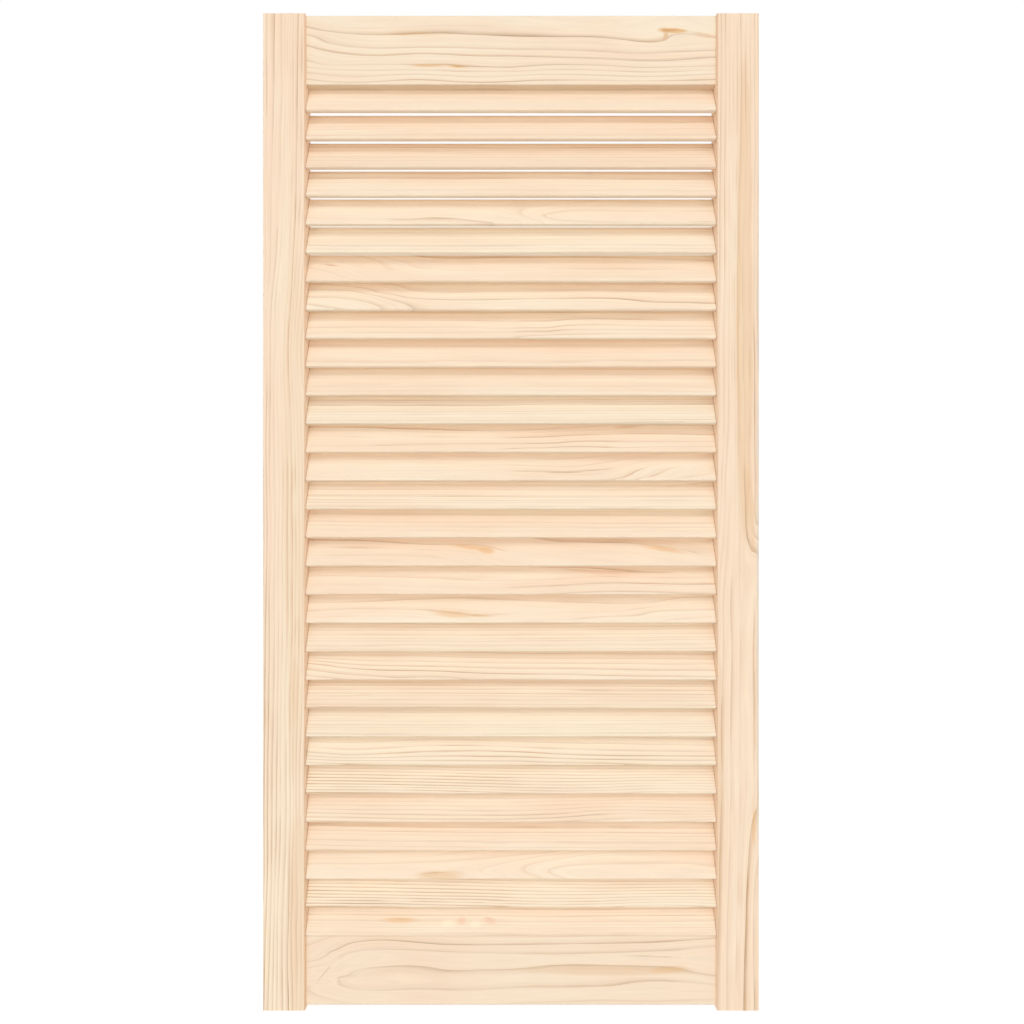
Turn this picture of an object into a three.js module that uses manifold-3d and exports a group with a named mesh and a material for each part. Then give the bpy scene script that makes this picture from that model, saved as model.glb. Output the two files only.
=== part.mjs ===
// A louvred cabinet door in solid pine: two stiles, two rails and a ladder of fixed slats.
//
// Millimetres, +Z up. X runs across the door's width and Y through its thickness, with the
// front facing -Y. The origin is the middle of the door's footprint, at its bottom edge.

import * as THREE from 'three';
import { mergeVertices } from 'three/addons/utils/BufferGeometryUtils.js';
import Module from 'manifold-3d';

// The door as a whole
const doorWidth = 494;
const doorHeight = 993;
const doorThickness = 21;

// Stiles and rails
const stileWidth = 42;
const railHeight = 69;
const railSetback = 3.5;      // rail face behind stile face, front and back alike
const bottomRailLift = 3.6;   // how far the stiles run on below the bottom rail
const arris = 0.6;            // chamfer planed on the long edges of stiles and rails

// Slats
const slatWidth = 35;
const slatThickness = 5;
const slatEdgeRadius = 2.2;
const slatSetback = 1.1;      // slat edges behind the stile faces, front and back alike
const slatSpacing = 28.4;     // wanted distance between slats, before it is evened out
const slatTuck = 3.8;         // how far the top slat reaches up behind the top rail
const mortiseDepth = 7;

// Dowels
const dowelDiameter = 6;
const dowelLength = 30;
const dowelChamfer = 0.7;
const dowelEdgeDistance = 17; // dowel centre from the rail's long edge
const dowelEndRoom = 0.5;     // air for glue past each end of a dowel

// Clearances and overruns
const fitGap = 0.3;           // between faces that meet
const cutOverrun = 2;         // how far a cutting shape stands out of the wood

// Facets
const edgeSegments = 2;       // on each rounded slat corner; an arc has two flats to a segment
const dowelFacets = 12;

// Places that follow from the sizes
const innerFaceX = doorWidth / 2 - stileWidth;
const railThickness = doorThickness - 2 * railSetback;
const railLength = 2 * (innerFaceX - fitGap);
const topRailZ = doorHeight - railHeight / 2;
const bottomRailZ = bottomRailLift + railHeight / 2;

// The tilt is what makes a slat of this width reach from one setback to the other.
const slatRound = Math.min(slatEdgeRadius, slatThickness / 2);
const slatCoreWidth = slatWidth - 2 * slatRound;
const slatCoreThickness = slatThickness - 2 * slatRound;
const slatCoreDepth = doorThickness - 2 * slatSetback - 2 * slatRound;
const slatTilt = Math.asin(slatCoreDepth / Math.hypot(slatCoreWidth, slatCoreThickness))
  - Math.atan2(slatCoreThickness, slatCoreWidth);
const slatRise = slatCoreWidth * Math.cos(slatTilt)
  + slatCoreThickness * Math.sin(slatTilt) + 2 * slatRound;
const slatLength = 2 * (innerFaceX + mortiseDepth - fitGap);

// The lowest slat sits on the bottom rail, and the highest tucks in behind the top rail.
const lowestSlatZ = bottomRailZ + railHeight / 2 + fitGap + slatRise / 2;
const highestSlatZ = topRailZ - railHeight / 2 + slatTuck - slatRise / 2;
const slatCount = Math.round((highestSlatZ - lowestSlatZ) / slatSpacing) + 1;
const slatPitch = (highestSlatZ - lowestSlatZ) / (slatCount - 1);

const pineBoard = new THREE.MeshStandardMaterial({ color: '#f3dcbd', roughness: 0.62, metalness: 0 });
const pineSlat = new THREE.MeshStandardMaterial({ color: '#f8e1c4', roughness: 0.6, metalness: 0 });
const beech = new THREE.MeshStandardMaterial({ color: '#d9b183', roughness: 0.7, metalness: 0 });

const wasm = await Module();
wasm.setup();

// A closed geometry as a solid that can be cut.
function toSolid(geometry) {
  const bare = geometry.clone();
  bare.deleteAttribute('normal');
  bare.deleteAttribute('uv');
  const merged = mergeVertices(bare);
  return new wasm.Manifold(new wasm.Mesh({
    numProp: 3,
    vertProperties: new Float32Array(merged.attributes.position.array),
    triVerts: new Uint32Array(merged.index.array),
  }));
}

// A solid as a geometry, with its own flat normal on each triangle.
function toGeometry(solid) {
  const mesh = solid.getMesh();
  const indexed = new THREE.BufferGeometry();
  indexed.setAttribute('position', new THREE.BufferAttribute(new Float32Array(mesh.vertProperties), 3));
  indexed.setIndex(Array.from(mesh.triVerts));
  const geometry = indexed.toNonIndexed();
  geometry.computeVertexNormals();
  return geometry;
}

function cut(geometry, tools) {
  const blank = toSolid(geometry);
  return toGeometry(tools.reduce((solid, tool) => solid.subtract(toSolid(tool)), blank));
}

// Turns a shape drawn flat and extruded upwards into one seen from the door's side:
// drawn across becomes the door's thickness, drawn up stays up, extruded becomes its width.
function alongWidth(geometry) {
  const side = new THREE.Matrix4().makeBasis(
    new THREE.Vector3(0, 1, 0), new THREE.Vector3(0, 0, 1), new THREE.Vector3(1, 0, 0));
  return geometry.applyMatrix4(side);
}

// An outline extruded to a length and centred on it.
function extrude(shape, length, curveSegments = 1) {
  const geometry = new THREE.ExtrudeGeometry(shape, { depth: length, bevelEnabled: false, curveSegments });
  return geometry.translate(0, 0, -length / 2);
}

// A board's cross-section with its four long edges eased.
function easedOutline(across, up) {
  const x = across / 2;
  const y = up / 2;
  return new THREE.Shape([
    new THREE.Vector2(x - arris, -y), new THREE.Vector2(x, arris - y),
    new THREE.Vector2(x, y - arris), new THREE.Vector2(x - arris, y),
    new THREE.Vector2(arris - x, y), new THREE.Vector2(-x, y - arris),
    new THREE.Vector2(-x, arris - y), new THREE.Vector2(arris - x, -y),
  ]);
}

// A slat's cross-section, upright, grown on every side by a clearance.
function slatOutline(clearance) {
  const x = slatThickness / 2 + clearance;
  const y = slatWidth / 2 + clearance;
  const r = slatRound + clearance;
  const quarter = Math.PI / 2;
  const shape = new THREE.Shape();
  shape.absarc(x - r, y - r, r, 0, quarter);
  shape.absarc(r - x, y - r, r, quarter, 2 * quarter);
  shape.absarc(r - x, r - y, r, 2 * quarter, 3 * quarter);
  shape.absarc(x - r, r - y, r, 3 * quarter, 4 * quarter);
  return shape;
}

function slatHeightAt(index) {
  return highestSlatZ - index * slatPitch;
}

// A slanted blind mortise for one slat, in the inner face of the stile on the given side.
function mortise(side, index) {
  const length = mortiseDepth + cutOverrun;
  const tool = alongWidth(extrude(slatOutline(fitGap), length, edgeSegments));
  tool.rotateX(-slatTilt);
  return tool.translate(side * (innerFaceX + mortiseDepth - length / 2), 0, slatHeightAt(index));
}

// The two dowel heights in a rail, the upper one first.
function dowelHeights(railZ) {
  const reach = railHeight / 2 - dowelEdgeDistance;
  return [railZ + reach, railZ - reach];
}

// A dowel bore across the joint plane: half of it is in the stile and half in the rail.
function dowelBore(side, z) {
  const radius = dowelDiameter / 2 + fitGap;
  const length = dowelLength + 2 * dowelEndRoom;
  const tool = new THREE.CylinderGeometry(radius, radius, length, dowelFacets);
  return tool.rotateZ(Math.PI / 2).translate(side * innerFaceX, 0, z);
}

function cornerBores(side) {
  return [...dowelHeights(topRailZ), ...dowelHeights(bottomRailZ)].map((z) => dowelBore(side, z));
}

// One stile: an eased board with a mortise for every slat and four dowel bores.
function stileGeometry(side) {
  const board = extrude(easedOutline(stileWidth, doorThickness), doorHeight);
  board.translate(side * (doorWidth / 2 - stileWidth / 2), 0, doorHeight / 2);
  const mortises = Array.from({ length: slatCount }, (_, index) => mortise(side, index));
  return cut(board, [...mortises, ...cornerBores(side)]);
}

// What the top slat takes off the back lower edge of the top rail: everything
// from just in front of the slat backwards.
function slatRebate() {
  const front = slatThickness / 2 + fitGap;
  const back = doorThickness + cutOverrun;
  const half = slatWidth / 2 + fitGap;
  const shape = new THREE.Shape([
    new THREE.Vector2(-front, -half), new THREE.Vector2(back, -half),
    new THREE.Vector2(back, half), new THREE.Vector2(-front, half),
  ]);
  const tool = alongWidth(extrude(shape, railLength + 2 * cutOverrun));
  return tool.rotateX(-slatTilt).translate(0, 0, highestSlatZ);
}

// One rail, centred on the given height, with two dowel bores in each end.
function railGeometry(railZ, extraCuts) {
  const board = alongWidth(extrude(easedOutline(railThickness, railHeight), railLength));
  board.translate(0, 0, railZ);
  const bores = [-1, 1].flatMap((side) => dowelHeights(railZ).map((z) => dowelBore(side, z)));
  return cut(board, [...bores, ...extraCuts]);
}

function slatGeometry() {
  return alongWidth(extrude(slatOutline(0), slatLength, edgeSegments));
}

// A dowel with chamfered ends, lying along X.
function dowelGeometry() {
  const radius = dowelDiameter / 2;
  const end = dowelLength / 2;
  const profile = [
    [0, -end], [radius - dowelChamfer, -end], [radius, dowelChamfer - end],
    [radius, end - dowelChamfer], [radius - dowelChamfer, end], [0, end],
  ].map(([r, y]) => new THREE.Vector2(r, y));
  return new THREE.LatheGeometry(profile, dowelFacets).rotateZ(Math.PI / 2);
}

function named(name, geometry, material) {
  const mesh = new THREE.Mesh(geometry, material);
  mesh.name = name;
  return mesh;
}

function frame() {
  const group = new THREE.Group();
  group.add(
    named('stile_left', stileGeometry(-1), pineBoard),
    named('stile_right', stileGeometry(1), pineBoard),
    named('rail_top', railGeometry(topRailZ, [slatRebate()]), pineBoard),
    named('rail_bottom', railGeometry(bottomRailZ, []), pineBoard),
  );
  return group;
}

function slats() {
  const group = new THREE.Group();
  for (let index = 0; index < slatCount; index += 1) {
    const number = String(index + 1).padStart(2, '0');
    const slat = named(`slat_${number}`, slatGeometry(), pineSlat);
    slat.rotation.x = -slatTilt;
    slat.position.z = slatHeightAt(index);
    group.add(slat);
  }
  return group;
}

function dowels() {
  const group = new THREE.Group();
  for (const [end, railZ] of [['top', topRailZ], ['bottom', bottomRailZ]]) {
    for (const [hand, side] of [['left', -1], ['right', 1]]) {
      dowelHeights(railZ).forEach((z, index) => {
        const level = ['upper', 'lower'][index];
        const dowel = named(`dowel_${end}_${hand}_${level}`, dowelGeometry(), beech);
        dowel.position.set(side * innerFaceX, 0, z);
        group.add(dowel);
      });
    }
  }
  return group;
}

const door = new THREE.Group();
door.name = 'louvred_cabinet_door';
door.add(frame(), slats(), dowels());

export default door;
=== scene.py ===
# %% [markdown]
# # A louvred cabinet door in planed pine
# The door is plain joinery: two upright stiles, two rails between them and thirty thin slats
# that sit in slanted slots. It carries no paint, so everything the eye reads is wood: pale boards,
# fine tan lines and soft shade under each slat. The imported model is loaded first, because every
# piece made here has to stand exactly where its solid is.

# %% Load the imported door
import math

import bmesh
import bpy
import numpy as np
from mathutils import Matrix, Vector


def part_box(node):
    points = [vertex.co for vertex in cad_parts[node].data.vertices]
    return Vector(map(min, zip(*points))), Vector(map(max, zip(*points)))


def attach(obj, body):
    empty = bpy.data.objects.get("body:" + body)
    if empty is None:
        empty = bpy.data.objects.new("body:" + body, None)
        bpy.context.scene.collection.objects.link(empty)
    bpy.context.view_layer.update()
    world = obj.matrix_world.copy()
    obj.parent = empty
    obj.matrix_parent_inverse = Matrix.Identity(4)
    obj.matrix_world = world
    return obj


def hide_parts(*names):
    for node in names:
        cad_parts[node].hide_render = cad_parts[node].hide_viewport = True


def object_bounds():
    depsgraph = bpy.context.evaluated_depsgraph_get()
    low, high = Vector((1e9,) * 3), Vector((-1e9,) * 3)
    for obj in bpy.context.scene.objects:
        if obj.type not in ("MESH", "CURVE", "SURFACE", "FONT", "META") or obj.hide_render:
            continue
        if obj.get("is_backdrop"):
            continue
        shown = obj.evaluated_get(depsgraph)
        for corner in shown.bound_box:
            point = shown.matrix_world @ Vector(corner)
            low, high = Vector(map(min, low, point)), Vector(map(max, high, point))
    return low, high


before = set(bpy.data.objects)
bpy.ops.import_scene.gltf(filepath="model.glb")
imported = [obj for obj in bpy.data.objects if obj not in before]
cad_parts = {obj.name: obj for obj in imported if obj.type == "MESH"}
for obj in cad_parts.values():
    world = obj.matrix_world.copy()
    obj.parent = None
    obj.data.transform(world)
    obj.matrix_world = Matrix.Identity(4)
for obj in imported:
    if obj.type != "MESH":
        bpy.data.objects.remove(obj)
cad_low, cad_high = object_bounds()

MM = 0.001
print("nodes in the frame:", len(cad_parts))
print("door size in mm:", [round(side / MM, 1) for side in cad_high - cad_low])

# %% [markdown]
# ## The camera
# The door was seen from straight in front, at half its height and only 0.75 m away, so the slats
# above the lens show less of their faces than those below it. A camera with a longer lens further
# off would fit the outline too, but it would lose that change from top to bottom. The camera comes
# before the boards, because the figure of the wood is later placed by points of the picture.

# %% Camera
PICTURE = 1024  # pixels on a side
CENTRE = (511.5, 511.55)  # the point of the picture straight ahead of the lens
FOCAL = 753.4  # pixels
EYE = (0.001, -0.7605, 0.4965)  # where the lens is, in metres

lens = bpy.data.cameras.new("camera")
lens.sensor_width = 36
lens.lens = FOCAL / PICTURE * lens.sensor_width
lens.clip_start = 0.01
lens.clip_end = 100
camera = bpy.data.objects.new("camera", lens)
camera.location = EYE
camera.rotation_euler = (math.pi / 2, 0, 0)
bpy.context.scene.collection.objects.link(camera)
bpy.context.scene.camera = camera
print("lens in mm:", round(lens.lens, 2))

# %% [markdown]
# ## Three helpers for materials
# Colours are picked on a screen as hex codes, but Blender reckons with linear light, so one
# function turns the first into the second. Another adds a node, sets its values and draws its
# links in one go, which keeps a long material readable as a list of steps. A new material comes
# with nodes of its own, so the third function makes one without them.

# %% Helpers for materials
def linear(code):
    """A hex colour as linear red, green, blue and alpha."""
    parts = [int(code[i:i + 2], 16) / 255 for i in (1, 3, 5)]
    return (*[c / 12.92 if c <= 0.04045 else ((c + 0.055) / 1.055) ** 2.4 for c in parts], 1)


def add(tree, kind, settings=None, links=None):
    """Adds a node. A setting is a socket's value if the node has that socket, else a property."""
    node = tree.nodes.new("ShaderNode" + kind)
    for name, value in (settings or {}).items():
        if isinstance(name, int) or name in node.inputs:
            node.inputs[name].default_value = value
        else:
            setattr(node, name, value)
    for socket, source in (links or {}).items():
        tree.links.new(source, node.inputs[socket])
    return node


def bare_material(name):
    """A new material and its node tree, with no node in it yet."""
    material = bpy.data.materials.new(name)
    material.use_nodes = True
    material.node_tree.nodes.clear()
    return material, material.node_tree


print("cream in linear light:", [round(c, 3) for c in linear("#fbe3c4")])

# %% [markdown]
# ## Studio light
# A product shot like this is lit by one large soft lamp high in front, in a pale room with a bright
# floor. The lamp could be an area light, but a sun with a wide disc gives high and low slats the
# same light, and draws a soft band of shade under each. The room is the world: evenly pale, with a
# brighter band just under the horizon, where a white floor would throw light up between the slats.
# Seen directly, the world is plain white.

# %% World and lamp
ROOM_LIGHT = 0.39  # from all round
LOW_LIGHT = 1.85  # from the band under the horizon, on top of that
LAMP_LIGHT = 0.98
LAMP_WIDTH = 36  # degrees across
LAMP_HEIGHT = 38  # degrees above the horizon

world = bpy.data.worlds.new("pale_room")
bpy.context.scene.world = world
world.use_nodes = True
tree = world.node_tree
tree.nodes.clear()
path = add(tree, "LightPath")
seen_directly = add(tree, "Math", {"operation": "MAXIMUM"},
                    {0: path.outputs["Is Camera Ray"], 1: path.outputs["Is Glossy Ray"]})
seen_at_all = add(tree, "Math", {"operation": "MAXIMUM"},
                  {0: seen_directly.outputs[0], 1: path.outputs["Is Transmission Ray"]})
direction = add(tree, "TexCoord")
towards = add(tree, "SeparateXYZ", links={0: direction.outputs["Generated"]})
below = add(tree, "MapRange", {"From Min": -0.5, "From Max": -0.2, "To Max": LOW_LIGHT,
                               "interpolation_type": "SMOOTHSTEP"}, {"Value": towards.outputs["Z"]})
above = add(tree, "MapRange", {"From Max": 0.08, "To Min": 1.0, "To Max": 0.0,
                               "interpolation_type": "SMOOTHSTEP"}, {"Value": towards.outputs["Z"]})
glow = add(tree, "Math", {"operation": "MULTIPLY_ADD", 2: ROOM_LIGHT},
           {0: below.outputs["Result"], 1: above.outputs["Result"]})
room = add(tree, "Background", {"Color": (1.0, 1.0, 1.0, 1)}, {"Strength": glow.outputs[0]})
white = add(tree, "Background", {"Color": (1.0, 1.0, 1.0, 1), "Strength": 1.0})
mixed = add(tree, "MixShader", links={0: seen_at_all.outputs[0], 1: room.outputs[0],
                                      2: white.outputs[0]})
add(tree, "OutputWorld", links={"Surface": mixed.outputs[0]})

sun = bpy.data.lights.new("high_lamp", "SUN")
sun.energy = LAMP_LIGHT
sun.angle = math.radians(LAMP_WIDTH)
lamp = bpy.data.objects.new("high_lamp", sun)
lamp.rotation_euler = (math.radians(90 - LAMP_HEIGHT), 0, 0)
bpy.context.scene.collection.objects.link(lamp)
bpy.context.scene.view_settings.view_transform = "Standard"
print("lamp looks along:", [round(c, 2) for c in lamp.rotation_euler.to_matrix() @ Vector((0, 0, -1))])

# %% [markdown]
# ## Floor
# The door stands on a pale floor that runs on past the picture, so no horizon shows. It could be a
# white card bent up behind the door, but the white room behind makes that needless. Seen directly,
# most of its brightness is its own, so it reads as white and still takes a soft shadow. It throws
# no light on the door, because the band of light in the world already does.

# %% Floor
FLOOR_REACH = 30  # metres from the middle to each side

mesh = bpy.data.meshes.new("floor")
bm = bmesh.new()
bmesh.ops.create_grid(bm, x_segments=2, y_segments=2, size=FLOOR_REACH)
bm.to_mesh(mesh)
bm.free()
floor = bpy.data.objects.new("floor", mesh)
bpy.context.scene.collection.objects.link(floor)
floor.visible_diffuse = False
floor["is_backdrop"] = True

paper, tree = bare_material("white_paper_floor")
path = add(tree, "LightPath")
matt = add(tree, "BsdfDiffuse", {"Color": linear("#ececec")})
dim = add(tree, "BsdfDiffuse", {"Color": linear("#cccccc")})
glow = add(tree, "Emission", {"Color": (1, 1, 1, 1), "Strength": 0.7})
lifted = add(tree, "AddShader", links={0: dim.outputs[0], 1: glow.outputs[0]})
mixed = add(tree, "MixShader", links={0: path.outputs["Is Camera Ray"], 1: matt.outputs[0],
                                      2: lifted.outputs[0]})
add(tree, "OutputMaterial", links={"Surface": mixed.outputs[0]})
mesh.materials.append(paper)
print("floor side in m:", floor.dimensions.x)

# %% [markdown]
# ## Boards
# Every board starts as the same thing: a sawn blank with four planed arrises. It could be a cube
# with a Bevel modifier, but the figure of the wood is going to be written on its points, so it
# needs many of them. The blank is a cube stretched to size, bevelled along its length, and then
# marked across with bisecting planes, which add points and leave the shape alone.

# %% A blank of wood
OUTER = 0.49  # share of a side; a point further than this from the middle is on the surface
TOUCHING = 1e-6  # metres; points nearer each other than this are one
CREASE = math.radians(40)  # an edge that turns more than this stays crisp


def blank(length, thickness, width, rounds, segments, steps):
    """A board along X with its front towards -Y, its long edges rounded by the two given radii,
    front and back, and marked off in steps (mm)."""
    bm = bmesh.new()
    bmesh.ops.create_cube(bm, size=1)
    bmesh.ops.scale(bm, vec=(length, thickness, width), verts=bm.verts)
    for radius, side in zip(rounds, (-1, 1)):
        long_edges = [e for e in bm.edges if abs(e.verts[0].co.x - e.verts[1].co.x) > length / 2
                      and all(v.co.y * side > thickness * OUTER for v in e.verts)
                      and all(abs(v.co.z) > width * OUTER for v in e.verts)]
        bmesh.ops.bevel(bm, geom=long_edges, offset=radius, offset_type="OFFSET", affect="EDGES",
                        segments=segments, profile=0.5, material=-1)
    sides = (length, thickness - 2 * max(rounds), width - 2 * max(rounds))
    for axis, (side, step) in enumerate(zip(sides, steps)):
        count = max(1, round(side / (step * MM)))
        normal = [0, 0, 0]
        normal[axis] = 1
        for k in range(1, count):
            point = [0, 0, 0]
            point[axis] = side * (k / count - 0.5)
            bmesh.ops.bisect_plane(bm, geom=bm.verts[:] + bm.edges[:] + bm.faces[:], dist=TOUCHING,
                                   plane_co=point, plane_no=normal)
    return bm


def to_mesh(bm, name):
    """A finished bmesh as a mesh with smooth rounds and crisp arrises."""
    bmesh.ops.recalc_face_normals(bm, faces=bm.faces)
    mesh = bpy.data.meshes.new(name)
    bm.to_mesh(mesh)
    bm.free()
    mesh.shade_smooth()
    mesh.set_sharp_from_angle(angle=CREASE)
    return mesh


def cut(mesh, tool):
    """Cuts one mesh out of another, as a saw or a drill would."""
    work = bpy.data.objects.new("work", mesh)
    cutter = bpy.data.objects.new("cutter", tool)
    for o in (work, cutter):
        bpy.context.scene.collection.objects.link(o)
    boolean = work.modifiers.new("cut", "BOOLEAN")
    boolean.object = cutter
    boolean.operation = "DIFFERENCE"
    boolean.solver = "EXACT"
    bpy.context.view_layer.update()
    made = bpy.data.meshes.new_from_object(work.evaluated_get(bpy.context.evaluated_depsgraph_get()))
    made.name = mesh.name
    for o in (work, cutter):
        bpy.data.objects.remove(o)
    bpy.data.meshes.remove(tool)
    return made


# %% [markdown]
# ## Where the boards go
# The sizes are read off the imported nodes, so nothing can drift away from the solids. Only the
# slats need thought: a slat is 35 mm wide and 5 mm thick, and leans until it just fits between the
# faces of the stiles. The lean follows from how deep its node is.

# %% Sizes and places
SLATS = 30
SLAT_WIDTH = 35 * MM
SLAT_THICKNESS = 5 * MM
PACKED_ROUND = 2.2 * MM  # of the solid slats
SLAT_ROUNDS = (1.6 * MM, 2.2 * MM)  # front and back edges, as in the next two
ARRIS = (0.6 * MM, 0.6 * MM)
STILE_ARRIS = (0.9 * MM, 0.6 * MM)
CLEARANCE = 0.3 * MM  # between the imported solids

slat_low, slat_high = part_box("slat_01")
core_width = SLAT_WIDTH - 2 * PACKED_ROUND
core_thickness = SLAT_THICKNESS - 2 * PACKED_ROUND
core_depth = slat_high.y - slat_low.y - 2 * PACKED_ROUND
tilt = math.asin(core_depth / math.hypot(core_width, core_thickness)) - math.atan2(
    core_thickness, core_width)
lean = Matrix.Rotation(-tilt, 4, "X")
upright = Matrix.Rotation(-math.pi / 2, 4, "Y")


def board(node, turned=Matrix.Identity(4), size=None):
    """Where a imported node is: how it is turned, and its length, thickness and width."""
    low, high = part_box(node)
    place = Matrix.Translation((low + high) / 2) @ turned
    if size is None:
        spans = turned.to_3x3().inverted() @ (high - low)
        size = [abs(span) for span in spans]
    return {"node": node, "place": place, "size": size}


boards = {
    "stile_left": board("stile_left", upright),
    "stile_right": board("stile_right", upright),
    "rail_top": board("rail_top"),
    "rail_bottom": board("rail_bottom"),
}
slat_size = (slat_high.x - slat_low.x, SLAT_THICKNESS, SLAT_WIDTH)
for i in range(1, SLATS + 1):
    boards[f"slat_{i:02d}"] = board(f"slat_{i:02d}", lean, slat_size)
print("slats lean by", round(math.degrees(tilt), 2), "degrees")
print("stile in mm:", [round(side / MM, 1) for side in boards["stile_left"]["size"]])

# %% [markdown]
# ## How growth rings reach a face
# A tree lays down one ring a year, pale in spring and tan in late summer. The lines on a board are
# where its face cuts those rings: straight where the saw ran with them, and long arches where it
# ran across the slope of the trunk. A repeated noise texture can't give each board its own lines.
# So every point of a board gets a ring number, which runs smoothly through the wood. A few rings
# are laid one by one, each as a row of points of the picture, and a thin bending plate is put through
# them, which is how a plate of steel would lie if it were held at those points.

# %% Rings through a board
RUN = 6  # a ring changes this many times more slowly along a board than across it
SLACK = 0.6  # how loosely the plate is held
NOT_ZERO = 1e-6  # keeps a logarithm finite


def seen(here, px, py):
    """The point of a board's front face that shows at a point of the picture, in mm on the board."""
    back = here["place"].inverted()
    eye = back @ camera.location
    ray = back.to_3x3() @ Vector(((px - CENTRE[0]) / FOCAL, 1, (CENTRE[1] - py) / FOCAL))
    hit = eye + ray * ((-here["size"][1] / 2 - eye.y) / ray.y)
    return hit.x / MM, hit.z / MM


def plate(points, rings):
    """A smooth function of (along, across) that takes the given ring numbers at the points."""
    held = np.array(points, float) / (RUN, 1)
    n = len(held)
    gap = np.linalg.norm(held[:, None] - held[None], axis=2)
    system = np.zeros((n + 3, n + 3))
    system[:n, :n] = gap ** 2 * np.log(gap + NOT_ZERO) + SLACK * np.eye(n)
    system[:n, n] = system[n, :n] = 1
    system[:n, n + 1:] = held
    system[n + 1:, :n] = held.T
    weights = np.linalg.solve(system, np.append(np.array(rings, float), (0, 0, 0)))

    def ring(along, across):
        at = np.stack([along / RUN, across], axis=1)
        away = np.linalg.norm(at[:, None] - held[None], axis=2)
        bent = (away ** 2 * np.log(away + NOT_ZERO)) @ weights[:n]
        return bent + weights[n] + at @ weights[n + 1:]

    return ring


def nearby(points, values):
    """A function of (along, across) that takes the value of whichever points are near."""
    held = np.array(points, float) / (RUN, 1)
    values = np.array(values, float)

    def value(along, across):
        at = np.stack([along / RUN, across], axis=1)
        away = np.linalg.norm(at[:, None] - held[None], axis=2)
        weights = 1 / (away ** 2 + 1) ** 2
        return weights @ values / weights.sum(axis=1)

    return value


def strokes(here, rows):
    """The points of listed rings: a row is a ring number, how strong it is, and x, y, x, y."""
    points = []
    rings = []
    strengths = []
    for number, strength, *path in rows:
        for px, py in zip(path[0::2], path[1::2]):
            points.append(seen(here, px, py))
            rings.append(number)
            strengths.append(strength)
    return points, rings, strengths


def straight(here, spacing, slope, bow):
    """The points of plain, nearly straight rings a given distance apart (mm)."""
    points = []
    rings = []
    for along in (-0.5, -0.17, 0.17, 0.5):
        for across in (-0.5, 0, 0.5):
            x = along * here["size"][0] / MM
            z = across * here["size"][2] / MM
            points.append((x, z))
            rings.append((-z - slope * 2 * along - bow * math.cos(math.pi * along)) / spacing)
    return points, rings, [1] * len(points)


print("a ring point on the top rail:", [round(v, 1) for v in seen(boards["rail_top"], 511, 49)])
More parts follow.
